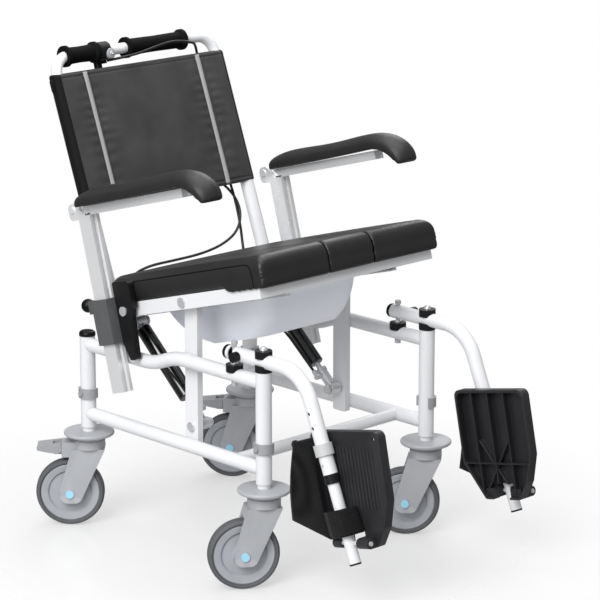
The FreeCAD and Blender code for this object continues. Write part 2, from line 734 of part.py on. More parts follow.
def keyhole(grow, low, high):
    """Plan of the commode opening: a bowl with a neck open to the front."""
    neck = neck_half_width + grow
    bowl = bowl_half_width + grow
    front = bowl_front - grow
    rear = bowl_rear + grow
    bowl_plan = rounded_rectangle(bowl, front, rear, 0, 70)
    neck_plan = rounded_rectangle(neck, pad_front - 60, (bowl_front + bowl_rear) / 2, 0, 5)
    lift = seat(0, 0, low)
    pieces = []
    for plan in (bowl_plan, neck_plan):
        prism = Part.Face(plan).extrude(axis_z * (high - low))
        prism.translate(lift)
        pieces.append(prism)
    return pieces[0].fuse(pieces[1]).removeSplitter()


def cushion(x_half, front, rear, levels, corner):
    """Soft block lofted through rounded rectangles: (height, draw-in) from the bottom up."""
    wires = []
    for w, inset in levels:
        wire = rounded_rectangle(x_half - inset, front + inset, rear - inset, 0, max(corner - inset / 2, 6))
        wire.translate(seat(0, 0, w))
        wires.append(wire)
    return Part.makeLoft(wires, True, False)


def upholstery():
    levels = [(pad_bottom, 5), (pad_bottom + 14, 1), (pad_bottom + 30, 0.5), (pad_top - 5, 6), (pad_top, 26)]
    pad = cushion(pad_half_width, pad_front, pad_rear, levels, pad_corner)
    nose_rear = seat_front - sliding_gap
    nose_levels = [(pad_bottom - nose_depth, 3), (pad_bottom - nose_depth + 5, 0.5), (pad_bottom + 12, 0.5)]
    wires = []
    for w, inset in nose_levels:
        wire = rounded_rectangle(pad_half_width - inset, pad_front + inset, nose_rear, 0, 7)
        wire.translate(seat(0, 0, w))
        wires.append(wire)
    nose = Part.makeLoft(wires, True, True)
    skirt_rear = pivot_y + pad_front + skirt_length
    skirt_low = pivot_z + pad_bottom - nose_depth
    skirt_top = pivot_z + pad_bottom + 8
    skirt_outline = [(pivot_y + pad_front + 6, skirt_low), (skirt_rear, skirt_low),
                     (skirt_rear + skirt_slope, skirt_top), (pivot_y + pad_front + 6, skirt_top)]
    skirt_inner_x = seat_rail_x + seat_rail_width / 2 + sliding_gap
    skirt = side_plate(skirt_outline, [0, 6, 0, 0], -pad_half_width + 0.5, -skirt_inner_x)
    whole = fuse(pad, nose, *both_sides([skirt]))
    low = pad_bottom - 2 * nose_depth
    opening = keyhole(insert_gap, low, pad_top + 30)
    save_tilted("seat_pad", [whole.cut(opening)])
    plug = whole.common(keyhole(0, low, pad_top + 30))
    save_tilted("seat_insert", [plug])

    # Backrest cover: two sleeves on the back tubes and the padded panel between them
    lean = math.radians(back_lean)
    sleeve_radius = cover_half_width - back_tube_x
    bore = back_tube_od / 2 + sliding_gap
    centre = back_axis(cover_bottom)
    front = centre - sleeve_radius
    panel_front = [Vec(-back_tube_x, front, 0), Vec(0, front + cover_sag, 0), Vec(back_tube_x, front, 0)]
    panel_rear = [p + Vec(0, cover_thickness, 0) for p in panel_front]
    panel = Part.Face(Part.Wire([
        Part.Arc(*panel_front).toShape(), Part.LineSegment(panel_front[2], panel_rear[2]).toShape(),
        Part.Arc(*reversed(panel_rear)).toShape(), Part.LineSegment(panel_rear[0], panel_front[0]).toShape()]))
    height = (cover_top - cover_bottom) / math.cos(lean)
    body = panel.extrude(axis_z * height)
    for x in (-back_tube_x, back_tube_x):
        body = body.fuse(Part.makeCylinder(sleeve_radius, height, Vec(x, centre, 0)))
    for x in (-back_tube_x, back_tube_x):
        body = body.cut(Part.makeCylinder(bore, height, Vec(x, centre, 0)))
    body = body.removeSplitter()
    body.translate(Vec(0, -centre, 0))
    body.rotate(Vec(0, 0, 0), axis_x, -back_lean)
    body.translate(seat(0, centre, cover_bottom))
    save_tilted("backrest_cover", [body])


def commode_pan():
    """Pan lofted between its base and its mouth, with a rim that slides in the runners."""
    mouth = -rail_top - 2 * sliding_gap
    base = mouth - pan_depth

    def shell(inset):
        low = rounded_rectangle(pan_bottom_half_width - inset, pan_bottom_front + inset,
                                pan_bottom_rear - inset, 0, pan_corner - inset)
        middle = rounded_rectangle((pan_bottom_half_width + pan_top_half_width) / 2 + 3 - inset,
                                   pan_bottom_front * 0.35 + pan_top_front * 0.65 + inset,
                                   pan_bottom_rear * 0.35 + pan_top_rear * 0.65 - inset, 0, pan_corner - inset)
        high = rounded_rectangle(pan_top_half_width - inset, pan_top_front + inset, pan_top_rear - inset, 0,
                                 pan_corner - inset)
        low.translate(seat(0, 0, base + inset))
        middle.translate(seat(0, 0, base + pan_depth * 0.45))
        high.translate(seat(0, 0, mouth))
        return Part.makeLoft([low, middle, high], True, False)
    rim_plan = rounded_rectangle(pan_top_half_width + pan_rim, pan_top_front - pan_rim,
                                 pan_top_rear + pan_rim, 0, pan_corner)
    rim = Part.Face(rim_plan).extrude(axis_z * -pan_wall)
    rim.translate(seat(0, 0, mouth))
    pan = fuse(shell(0), rim).cut(shell(pan_wall))
    save_tilted("commode_pan", [pan])


def armrests():
    outer = arm_post_width / 2
    depth = arm_post_depth / 2

    def post_block(grow, low, high):
        return box(seat(-post_x - outer - grow, arm_post_u - depth - grow, low),
                   seat(-post_x + outer + grow, arm_post_u + depth + grow, high))
    plunger_axis = seat(-post_x, 0, plunger_height)
    lug_end = arm_post_u + depth + sleeve_wall + lug_length
    pin_core = rod(plunger_axis + axis_y * arm_post_u, plunger_axis + axis_y * (lug_end + 20),
                   plunger_pin_radius + running_gap)

    sleeve = post_block(sleeve_wall, sleeve_bottom, sleeve_top)
    lug = box(seat(-post_x - 9, arm_post_u + depth, plunger_height - lug_height / 2 - 4),
              seat(-post_x + 9, lug_end, sleeve_top))
    sleeve = fuse(sleeve, lug).cut(post_block(sliding_gap, sleeve_bottom, sleeve_top)).cut(pin_core)
    save_tilted("arm_sleeves", both_sides([sleeve]))

    # Black bracket that ties the sleeve to the seat rail
    sleeve_front = arm_post_u - depth - sleeve_wall
    rail_face = seat_rail_x + seat_rail_width / 2
    inner_face = leg_x + rail_od / 2 + 2
    outer_face = inner_face + bracket_thickness
    leg_outline = [(pivot_y + bracket_front, pivot_z + 8), (pivot_y + sleeve_front, pivot_z + 8),
                   (pivot_y + sleeve_front, pivot_z + sleeve_bottom),
                   (pivot_y + bracket_foot[1], pivot_z - bracket_drop),
                   (pivot_y + bracket_foot[0], pivot_z - bracket_drop)]
    leg = side_plate(leg_outline, [4, 0, 8, 5, 5], -outer_face, -inner_face)
    boss = rod(seat(-inner_face, bracket_bolt_u, 0), seat(-rail_face, bracket_bolt_u, 0), bracket_boss_radius)
    guard_outline = [(pivot_y + guard_front, pivot_z + 2), (pivot_y + sleeve_front, pivot_z + 2),
                     (pivot_y + sleeve_front, pivot_z + guard_top + 1),
                     (pivot_y + guard_front, pivot_z + guard_top - 1)]
    guard = side_plate(guard_outline, [5, 0, 5, 8], -outer_face, -inner_face)
    bolt_line = rod(seat(-outer_face, bracket_bolt_u, 0), seat(-rail_face, bracket_bolt_u, 0),
                    bracket_bolt_radius)
    save_tilted("rear_brackets", both_sides([fuse(leg, guard, boss).cut(bolt_line)]))
    bolt = fuse(rod(seat(-outer_face - 3, bracket_bolt_u, 0),
                    seat(-seat_rail_x + seat_rail_width / 2, bracket_bolt_u, 0), bracket_bolt_radius),
                rod(seat(-outer_face - 3, bracket_bolt_u, 0), seat(-outer_face, bracket_bolt_u, 0), 8.5))
    pivot_bolt = fuse(rod(seat(-rail_face - 3, 0, 0), seat(-post_inner_x + 3, 0, 0), pivot_radius),
                      rod(seat(-rail_face - 3, 0, 0), seat(-rail_face, 0, 0), pivot_radius + 3),
                      rod(seat(-post_inner_x + swing_gap, 0, 0), seat(-post_inner_x + 5, 0, 0), pivot_radius + 3))
    pin_outer = seat_rail_x - seat_rail_width / 2
    plate_outline = [(pivot_y + spring_upper_u - 14, pivot_z + 8), (pivot_y + spring_upper_u, pivot_z + 8),
                     (pivot_y + spring_upper_u + 9, pivot_z + spring_upper_w - 12),
                     (pivot_y + spring_upper_u - 12, pivot_z + spring_upper_w - 12)]
    ear = side_plate(plate_outline, [2, 2, 8, 8], -pin_outer, -pin_outer + 4)
    pin_end = spring_x - cylinder_radius - 2
    pin_tip = seat(-pin_end, spring_upper_u, spring_upper_w)
    pin = rod(seat(-pin_outer, spring_upper_u, spring_upper_w), pin_tip, spring_pin_radius)
    pin_head = rod(pin_tip, pin_tip + axis_x * 4, spring_pin_radius + 4)
    save_tilted("seat_bolts", both_sides([bolt, pivot_bolt, fuse(ear, pin, pin_head)]))

    # Sliding post: hollow section with a groove down its front face, and the hinge ears at its top
    post = post_block(0, arm_post_bottom, arm_post_top)
    core = post_block(-arm_post_wall, arm_post_bottom, arm_post_top - 12)
    groove = box(seat(-post_x - groove_width / 2, arm_post_u - depth, arm_post_bottom),
                 seat(-post_x + groove_width / 2, arm_post_u - depth + groove_depth, arm_post_top))
    groove_rear = arm_post_u - depth + groove_depth + 2
    groove_wall = box(seat(-post_x - groove_width / 2 - 2, arm_post_u - depth, arm_post_bottom),
                      seat(-post_x + groove_width / 2 + 2, groove_rear, arm_post_top - 12))
    hinge_axis = seat(-post_x, arm_hinge_u, arm_hinge_w)
    ears_outline = [(pivot_y + arm_post_u, pivot_z + arm_post_top - 6),
                    (pivot_y + arm_hinge_u + arm_hinge_radius, pivot_z + arm_post_top - 6),
                    (pivot_y + arm_hinge_u + arm_hinge_radius, pivot_z + arm_hinge_w + arm_hinge_radius),
                    (pivot_y + arm_hinge_u - arm_hinge_radius, pivot_z + arm_hinge_w + arm_hinge_radius),
                    (pivot_y + arm_post_u, pivot_z + arm_post_top)]
    ears = side_plate(ears_outline, [2, 9, 10, 10, 2], -post_x - outer, -post_x + outer)
    knuckle_room = rod(hinge_axis - axis_x * 6.5, hinge_axis + axis_x * 6.5, arm_hinge_radius + 2)
    knuckle_room = knuckle_room.fuse(box(seat(-post_x - 6.5, 0, arm_post_top + 1),
                                         seat(-post_x + 6.5, arm_hinge_u, arm_hinge_w + 40)))
    hinge_hole = rod(hinge_axis - axis_x * outer, hinge_axis + axis_x * outer, 4)
    slot_half = plunger_pin_radius + running_gap
    lock_slot = box(seat(-post_x - slot_half, arm_post_u, plunger_height - arm_post_travel - slot_half),
                    seat(-post_x + slot_half, arm_post_u + depth, plunger_height))
    post_shape = fuse(post.cut(core.cut(groove_wall)).cut(groove), ears).cut(knuckle_room).cut(hinge_hole)
    post_shape = post_shape.cut(pin_core).cut(lock_slot)
    hinge_pin = fuse(rod(hinge_axis - axis_x * (outer + 2), hinge_axis + axis_x * (outer + 2), 4),
                     rod(hinge_axis - axis_x * (outer + 2), hinge_axis - axis_x * outer, 6.5),
                     rod(hinge_axis + axis_x * outer, hinge_axis + axis_x * (outer + 2), 6.5))

    # Arm bar: a flat channel with its hinge knuckle
    bar_top = arm_hinge_w + 3
    bar_low = bar_top - arm_bar_height
    bar_rear = arm_post_u - depth - 3
    bar = box(seat(-post_x - outer, arm_bar_front, bar_low), seat(-post_x + outer, bar_rear, bar_top))
    slot = box(seat(-post_x - outer + 4, arm_bar_front, bar_low),
               seat(-post_x + outer - 4, bar_rear - 30, bar_low + 7))
    knuckle = rod(hinge_axis - axis_x * 6, hinge_axis + axis_x * 6, arm_hinge_radius)
    tongue = box(seat(-post_x - 6, bar_rear - 20, arm_post_top + 3), seat(-post_x + 6, arm_hinge_u, bar_top))
    bar_shape = fuse(bar.cut(slot), tongue, knuckle).cut(
        rod(hinge_axis - axis_x * 9, hinge_axis + axis_x * 9, 4 + running_gap))
    pad = arm_pad(bar_top + sliding_gap)

    ball = Part.makeSphere(plunger_ball_radius, plunger_axis + axis_y * (lug_end + plunger_ball_radius - 1))
    ball = ball.cut(box(seat(-post_x - 30, 0, plunger_height - 30),
                        seat(-post_x + 30, lug_end + swing_gap, plunger_height + 30)))
    pin_start = plunger_axis + axis_y * (arm_post_u + depth - 6)
    plunger = fuse(ball, rod(pin_start, plunger_axis + axis_y * (lug_end + 6), plunger_pin_radius))
    for side, place in (("right", lambda shape: shape), ("left", mirrored)):
        save_tilted("arm_post_" + side, [place(post_shape), place(hinge_pin)])
        save_tilted("arm_bar_" + side, [place(bar_shape)])
        save_tilted("arm_pad_" + side, [place(pad)])
        save_tilted("plunger_" + side, [place(plunger)])


def arm_pad(low):
    """Padded armrest lofted along its length, with a crowned top and a drooping front end."""
    half = arm_pad_width / 2
    # station along the arm, underside height, overall height, half width and slope of the section
    stations = [(arm_hinge_u - 22, low, 20, half - 6, 0), (arm_hinge_u - 40, low, 25, half - 2, 0),
                (20, low + 1, 27, half, 0), (-82, low + 3, 28, half + 1, 4),
                (-118, low - 1, 28, half + 2, 32), (-146, low - 19, 25, half + 1, 58),
                (-157, low - 33, 16, half - 4, 70)]
    wires = []
    for u, base, height, width, slope in stations:
        side = height * 0.5
        left_low = Vec(-width, 0, 0)
        right_low = Vec(width, 0, 0)
        right_high = Vec(width, 0, side)
        left_high = Vec(-width, 0, side)
        wire = Part.Wire([Part.LineSegment(left_low, right_low).toShape(),
                          Part.LineSegment(right_low, right_high).toShape(),
                          Part.Arc(right_high, Vec(0, 0, height), left_high).toShape(),
                          Part.LineSegment(left_high, left_low).toShape()])
        wire.rotate(Vec(0, 0, 0), axis_x, slope)
        wire.translate(seat(-post_x - arm_pad_offset, u, base))
        wires.append(wire)
    return Part.makeLoft(wires, True, False)


def tilted_point(x, u, w):
    """Where a point of the level seat unit stands at the rest tilt."""
    return seat(0, 0, 0) + FreeCAD.Rotation(axis_x, -rest_tilt).multVec(Vec(x, u, w))


def spring_line():
    """Way and length of the right gas spring, from its lower pin to its upper one."""
    line = tilted_point(-spring_x, spring_upper_u, spring_upper_w) - spring_low
    length = line.Length
    return line.normalize(), length


def gas_springs():
    along, length = spring_line()

    def on_axis(distance):
        return spring_low + along * distance
    half = axis_x * (cylinder_radius - 3)
    eye_gap = spring_pin_radius + open_pivot_gap
    barrel_end = length - spring_eye_radius - 2
    rod_end = length - spring_eye_radius - 10
    barrel = rod(on_axis(cylinder_start), on_axis(barrel_end), cylinder_radius)
    barrel = barrel.makeFillet(2.5, [barrel.Edges[0], barrel.Edges[2]])
    neck = rod(on_axis(barrel_end - 4), on_axis(length), spring_eye_radius * 0.7)
    eye = rod(on_axis(length) - half, on_axis(length) + half, spring_eye_radius)
    cylinder = fuse(barrel, neck, eye)
    cylinder = cylinder.cut(rod(on_axis(length) - half, on_axis(length) + half, eye_gap))
    cylinder = cylinder.cut(rod(on_axis(cylinder_start), on_axis(rod_end), spring_rod_radius + running_gap))

    # Release head: clevis block on the lower pin, with a press lever and a cable socket
    block = rod(on_axis(8), on_axis(release_head_length), 9)
    boss = rod(on_axis(0) - half, on_axis(0) + half, 10.5)
    collar = rod(on_axis(release_head_length - 6), on_axis(release_head_length), 10.5)
    socket_base = on_axis(release_head_length - adjuster_setback)
    adjuster_base = socket_base + axis_x * adjuster_offset
    socket = rod(socket_base, adjuster_base + axis_x * 4, 5)
    barrel_adjuster = rod(adjuster_base, adjuster_base + along * adjuster_setback, 4.2)
    shaft = rod(on_axis(release_head_length - 2), on_axis(cylinder_start + 60), spring_rod_radius)
    pin_hole = rod(on_axis(0) - half * 2, on_axis(0) + half * 2, spring_pin_radius + running_gap)
    head = fuse(block, boss, collar, socket, barrel_adjuster, shaft).cut(pin_hole)
    for side, place in (("right", lambda shape: shape), ("left", mirrored)):
        save("gas_cylinder_" + side, [place(cylinder)])
        save("gas_rod_" + side, [place(head)])


def footrests():
    stub_end = Vec(-leg_x, hanger_rear_y, hanger_z)
    path = bent_path([stub_end, hanger_corner, hanger_point(hanger_reach)], [hanger_radius])
    stud_hole = rod(Vec(-leg_x, -leg_y, hanger_z - hanger_od), Vec(-leg_x, -leg_y, hanger_z + hanger_od),
                    stud_radius + running_gap)
    slot_half = latch_pin_radius + swing_gap
    pin_arm = latch_pin_y + leg_y
    swing_allowance = pin_arm - math.sqrt(pin_arm ** 2 - (hanger_od / 2 + latch_pin_radius) ** 2)
    latch_slot = box(Vec(-leg_x - hanger_od, latch_pin_y - slot_half - swing_allowance, hanger_z - hanger_od),
                     Vec(-leg_x, latch_pin_y + slot_half, hanger_z + hanger_od))
    latch_slot = latch_slot.fuse(rod(Vec(-leg_x, latch_pin_y, hanger_z - hanger_od),
                                     Vec(-leg_x, latch_pin_y, hanger_z + hanger_od), slot_half))
    tube = bent_tube(path, hanger_od, hanger_wall).cut(stud_hole).cut(latch_slot)
    for reach in adjuster_holes:
        spot = hanger_point(reach)
        tube = tube.cut(rod(spot, spot - axis_x * hanger_od, adjuster_hole_radius))

    tube_top = hanger_z + hanger_od / 2
    upper_saddle = saddle(Vec(-leg_x, -leg_y, 0), hanger_z, hanger_od / 2, tube_top - saddle_height / 2,
                          tube_top + saddle_height / 2)
    lower_saddle = saddle(Vec(-leg_x, -leg_y, 0), hanger_z, hanger_od / 2, bearing_top + sliding_gap,
                          hanger_z - hanger_od / 2 + saddle_height / 2)
    saddles = [upper_saddle.cut(stud_hole), lower_saddle.cut(stud_hole)]
    end_cap = rod(stub_end, stub_end + axis_y * 9, hanger_od / 2)
    end_cap = end_cap.makeFillet(4, [end_cap.Edges[0]])
    clip_start = hanger_reach - clip_reach
    ring = straight_tube(hanger_point(clip_start), hanger_point(clip_start + ring_height),
                         hanger_od + 2 * clip_wall, clip_wall)
    mouth = hanger_point(clip_start) + axis_x * (hanger_od / 2 - clip_wall)
    ring = ring.cut(box(mouth - Vec(0, hanger_od, 2 * ring_height),
                        mouth + Vec(hanger_od, hanger_od, 2 * ring_height)))
    collar = straight_tube(hanger_point(hanger_reach), hanger_point(hanger_reach + collar_height),
                           hanger_od + 1, (hanger_od + 1) / 2 - (hanger_od / 2 - hanger_wall))
    bracket_spot = hanger_point(clip_start - strap_arm_radius * 2)
    arm = rod(bracket_spot, bracket_spot + hanger_rear_way * strap_arm_length, strap_arm_radius)
    arm = arm.cut(rod(hanger_point(0), hanger_point(hanger_reach), hanger_od / 2))
    fittings = saddles + [end_cap, ring, collar, arm]

    knob_start = Vec(-leg_x - hanger_od / 2 - swing_gap, latch_pin_y - knob_setback, hanger_z)
    knob_stem = rod(knob_start + axis_x * (hanger_od / 4), knob_start - axis_x * knob_length, knob_stem_radius)
    knob = fuse(knob_stem, rod(knob_start, knob_start - axis_x * knob_length, knob_radius))
    knob_hole = rod(knob_start + axis_x * (hanger_od / 2), knob_start - axis_x * knob_length,
                    knob_stem_radius + running_gap)
    tube = tube.cut(knob_hole)

    foot_start = hanger_point(hanger_reach - foot_tube_insert)
    foot_tip = hanger_point(foot_tip_reach)
    foot_od = hanger_od - 2 * hanger_wall - 2 * sliding_gap
    hinge = hanger_point(foot_hinge_reach)
    pin_way = Vec(0, -math.cos(math.radians(plate_toe_up)), math.sin(math.radians(plate_toe_up)))
    pin = rod(hinge - pin_way * (plate_hinge_rear + 2), hinge + pin_way * (plate_hinge_front + 2),
              foot_pin_radius)
    foot_tube = straight_tube(foot_start, foot_tip, foot_od, hanger_wall).cut(pin)
    tip_cap = fuse(rod(foot_tip - hanger_down * 8, foot_tip, foot_od / 2 - hanger_wall),
                   rod(foot_tip, foot_tip + hanger_down * 3, foot_od / 2))

    plate = footplate()
    strap = heel_strap(bracket_spot)
    for side, place in (("right", lambda shape: shape), ("left", mirrored)):
        save("hanger_tube_" + side, [place(tube)])
        save("hanger_fittings_" + side, [place(piece) for piece in fittings])
        save("latch_knob_" + side, [place(knob)])
        save("foot_tube_" + side, [place(piece) for piece in (foot_tube, pin, tip_cap)])
        save("footplate_" + side, [place(plate)])
        save("heel_strap_" + side, [place(strap)])


def footplate():
    """Right footplate, folded up: a ribbed tray on knuckles round the hinge pin."""
    tread = plate_offset
    back = plate_offset + plate_thickness
    outline = [(-plate_front, plate_height), (plate_rear, plate_height), (plate_rear, plate_waist),
               (plate_hinge_rear, -plate_foot), (-plate_hinge_front, -plate_foot), (-plate_front + 16, 22),
               (-plate_front, plate_waist + 15)]
    radii = [12, 12, 14, 6, 8, 14, 20]
    slab = side_plate(outline, radii, tread, back)
    centre = [sum(c) / len(outline) for c in zip(*outline)]
    shrink = 1 - plate_wall / 75
    inner = [(centre[0] + (y - centre[0]) * shrink, centre[1] + (z - centre[1]) * shrink) for y, z in outline]
    pocket = side_plate(inner, radii, tread + plate_wall, back + 1)
    slab = slab.cut(pocket)
    ribs = []
    for y in (-plate_rib_pitch, 0, plate_rib_pitch):
        ribs.append(box(Vec(tread + 1, y - 1.5, -plate_foot + 2), Vec(back - 3, y + 1.5, plate_height - 2)))
    ribs.append(box(Vec(tread + 1, -plate_front + 3, plate_waist - 3),
                    Vec(back - 3, plate_rear - 3, plate_waist)))
    for lean in (-35, 35):
        rib = box(Vec(tread + 1, -1.5, -40), Vec(back - 5, 1.5, 80))
        rib.rotate(Vec(0, 0, 20), axis_x, lean)
        rib.translate(Vec(0, 0, 25))
        ribs.append(rib)
    solid_tray = side_plate(inner, radii, tread, back)
    ribs = [rib.common(solid_tray) for rib in ribs]
    treads = []
    for i in range(tread_rib_count):
        y = (i - (tread_rib_count - 1) / 2) * tread_rib_pitch + (plate_rear - plate_front) / 2
        treads.append(box(Vec(tread - 1.2, y - 1.5, plate_waist),
                          Vec(tread + 1, y + 1.5, plate_height - tread_margin)))
    tube_half = hanger_od / 2 + 2
    notch = box(Vec(tread - 5, -tube_half - 10, -plate_foot - 5), Vec(back + 5, tube_half, tube_half + 2))
    knuckles = []
    for y_low, y_high in ((-plate_hinge_front, -tube_half - 10), (tube_half, plate_hinge_rear)):
        barrel = rod(Vec(0, y_low, 0), Vec(0, y_high, 0), knuckle_radius)
        knuckles.append(barrel.fuse(box(Vec(0, y_low, -knuckle_radius), Vec(back - 4, y_high, knuckle_radius))))
    hole_y = -plate_front + tread_margin / 2
    hole_z = plate_height - tread_margin / 2
    hole = rod(Vec(0, hole_y, hole_z), Vec(tread + plate_wall, hole_y, hole_z), plate_hole_radius)
    plate = fuse(slab, *ribs, *treads).cut(notch).cut(hole)
    plate = fuse(plate, *knuckles).cut(rod(Vec(0, -99, 0), Vec(0, 99, 0), foot_pin_radius + running_gap))
    plate.rotate(Vec(0, 0, 0), axis_x, -plate_toe_up)
    plate.translate(hanger_point(foot_hinge_reach))
    return plate


def heel_strap(hook):
    """Heel strap: webbing hung from its arm, sewn to a band that turns forward round the foot tube."""
    hinge = hanger_point(foot_hinge_reach)
    inner_x = -strap_arm_radius - sliding_gap

    def across(rearward, outboard, origin):
        return origin + hanger_rear_way * rearward + axis_x * outboard
    band_top = hinge - hanger_down * strap_band_rise
    turn_x = -hanger_od / 2 - 2
    route = bent_path([across(strap_foot[0], inner_x, band_top), across(4, turn_x, band_top),
                       across(-18, turn_x, band_top), across(-32, plate_offset - 6, band_top)], [20, 9])
    edge = route.makeOffset2D(strap_thickness, 0, True, True)
    band = edge.extrude(hanger_down * strap_band_width)
    hook_x = axis_x * inner_x
    arm_start = hook + hook_x + hanger_rear_way * (strap_arm_length - strap_width)
    arm_end = hook + hook_x + hanger_rear_way * strap_arm_length
    band_low = band_top + hanger_down * strap_band_width
    corners = [arm_start, arm_end, across(strap_foot[1], inner_x, band_top),
               across(strap_foot[0], inner_x, band_low), across(strap_foot[0], inner_x, band_top)]
    drop = Part.Face(rounded_wire(corners, [3, 3, 4, 0, 0])).extrude(axis_x * -strap_thickness)
    return fuse(drop, band)


def release_cables():
    """Cables from the lever to the two release heads, held at both ends."""
    # Places across, behind the back tubes and above the pivot, for a 400 track, 25 tubes and a 464 push bar
    near_drop = [(-79, 23, 400), (-52, 23, 350), (0, 21, 300), (60, 21, 250), (120, 20, 210), (162, 16, 170),
                 (170, 12, 130), (146, 7, 95), (100, 3, 76), (40, 0.5, 67), (-30, 0.5, 66), (-85, 4.5, 66),
                 (-120, 15, 56), (-138, 21, 26), (-140, 11, -14), (-139, -10, -60)]
    far_drop = [(-27, -25, 446), (36, -25.5, 457), (72, -26, 462), (124, -24, 455), (160, 14, 446),
                (168, 28, 394), (165, 26.5, 345), (162, 24, 300), (161, 22, 255), (164, 20.5, 210),
                (168, 19.5, 162), (165, 18, 110), (156, 18, 57), (146, 14.5, 5), (139, 1, -45)]
    spread = track / 400
    girth = back_tube_od / 25
    rise = push_bar_height / 464

    def hung(places):
        return [tilted_point(x * spread, back_axis(w * rise) + behind * girth, w * rise)
                for x, behind, w in places]
    along, length = spring_line()
    low_end = spring_low + axis_x * adjuster_offset + along * release_head_length
    low_run = [low_end + along * (length * share) + axis_x * inboard
               for share, inboard in ((0.42, 4), (0.21, 2))]
    low_run.append(low_end + along * swing_gap)
    spout_end = (clamp_x - 3, back_axis(push_bar_height) + clamp_radius,
                 push_bar_height - clamp_radius - 12 - swing_gap)
    near_route = [tilted_point(*spout_end)] + hung(near_drop) + low_run
    far_route = [tilted_point(*side_spout(side_spout_length + swing_gap))] + hung(far_drop)
    far_route += [Vec(-place.x, place.y, place.z) for place in low_run]
    cables = []
    for points in (near_route, far_route):
        radii = []
        for before, corner, after in zip(points, points[1:], points[2:]):
            shorter = min((before - corner).Length, (after - corner).Length)
            turn = math.pi - (before - corner).getAngle(after - corner)
            radii.append(0.45 * shorter / math.tan(turn / 2))
        path = bent_path(points, radii)
        cable = sweep(path, cable_radius)
        print("cable length %.0f, least radius %.1f, volume share %.4f" % (
            path.Length, min(radii), cable.Volume / (path.Length * math.pi * cable_radius ** 2)))
        cables.append(cable)
    save("release_cables", cables)


os.makedirs("parts", exist_ok=True)
base_frame()
casters()
seat_frame()
back_frame()
tilt_lever()
upholstery()
commode_pan()
armrests()
gas_springs()
footrests()
release_cables()
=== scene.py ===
import bpy
import math
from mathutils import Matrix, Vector
from mathutils.bvhtree import BVHTree


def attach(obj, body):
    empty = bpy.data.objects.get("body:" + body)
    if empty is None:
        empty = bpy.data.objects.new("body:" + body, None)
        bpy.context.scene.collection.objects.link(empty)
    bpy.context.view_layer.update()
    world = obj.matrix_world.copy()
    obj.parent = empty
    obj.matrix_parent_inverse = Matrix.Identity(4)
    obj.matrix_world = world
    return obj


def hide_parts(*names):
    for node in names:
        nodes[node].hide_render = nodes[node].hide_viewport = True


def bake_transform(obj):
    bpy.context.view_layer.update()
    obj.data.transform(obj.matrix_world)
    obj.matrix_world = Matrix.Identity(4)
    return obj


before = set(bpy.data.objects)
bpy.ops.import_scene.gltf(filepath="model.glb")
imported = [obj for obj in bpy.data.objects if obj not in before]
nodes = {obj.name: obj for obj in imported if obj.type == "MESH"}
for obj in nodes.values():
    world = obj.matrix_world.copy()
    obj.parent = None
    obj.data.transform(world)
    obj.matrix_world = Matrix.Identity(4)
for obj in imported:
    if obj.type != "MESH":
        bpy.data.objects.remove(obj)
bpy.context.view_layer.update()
scene = bpy.context.scene
sides = ("right", "left")
# casters: headings in degrees, places, and the limits of the axle cap on each fork
caster = {"headings": {"front_right": 146.0, "rear_right": 137.0, "front_left": 132.0, "rear_left": 128.0},
          "across": 0.2, "along": 0.2325, "capOut": 0.0232, "capAhead": 0.02, "capTop": 0.075}
print("stage: frame loaded")

# seat unit: level places (across, rearward, upward, in metres) stand tilted about the pivot
seatUnit = {"pivot": Vector((0, -0.035, 0.469)), "tilt": math.radians(15.7), "backFoot": 0.207,
            "lean": math.radians(4.7), "barHeight": 0.464}


def seatPoint(x, u, w):
    turn = seatUnit["tilt"]
    y = u * math.cos(turn) + w * math.sin(turn)
    z = -u * math.sin(turn) + w * math.cos(turn)
    return seatUnit["pivot"] + Vector((x, y, z))


def seatLevel(place):
    turn = seatUnit["tilt"]
    local = place - seatUnit["pivot"]
    u = local.y * math.cos(turn) - local.z * math.sin(turn)
    w = local.y * math.sin(turn) + local.z * math.cos(turn)
    return Vector((local.x, u, w))


def backAxis(w):
    return seatUnit["backFoot"] + w * math.tan(seatUnit["lean"])


# camera solved from the photograph: turn, rise, distance, lens and shift of the target
view = {"turn": math.radians(43.94), "rise": math.radians(14.433), "distance": 5.0, "lens": 167.85,
        "shift": (0.07867, -0.0195), "height": 0.45, "sensor": 36, "clip": 60}
flat = math.cos(view["rise"])
toEye = Vector((-math.sin(view["turn"]) * flat, -math.cos(view["turn"]) * flat, math.sin(view["rise"])))
sideways = Vector((math.cos(view["turn"]), -math.sin(view["turn"]), 0))
upward = toEye.cross(sideways)
target = Vector((0, 0, view["height"])) + sideways * view["shift"][0] + upward * view["shift"][1]
camera = bpy.data.objects.new("camera", bpy.data.cameras.new("camera"))
camera.data.lens = view["lens"]
camera.data.sensor_width = view["sensor"]
camera.data.clip_end = view["clip"]
camera.location = target + toEye * view["distance"]
camera.rotation_euler = (-toEye).to_track_quat("-Z", "Y").to_euler()
scene.collection.objects.link(camera)
scene.camera = camera
scene.render.resolution_x = 600
scene.render.resolution_y = 600
scene.view_settings.view_transform = "Standard"
print("stage: camera placed")


def linear(hexColour):
    parts = [int(hexColour[i:i + 2], 16) / 255 for i in (1, 3, 5)]
    return [p / 12.92 if p <= 0.04045 else ((p + 0.055) / 1.055) ** 2.4 for p in parts] + [1]


def addNode(tree, kind, inputs=None, **settings):
    node = tree.nodes.new(kind)
    for name, value in settings.items():
        setattr(node, name, value)
    for name, value in (inputs or {}).items():
        if isinstance(value, bpy.types.NodeSocket):
            tree.links.new(value, node.inputs[name])
        else:
            node.inputs[name].default_value = value
    return node


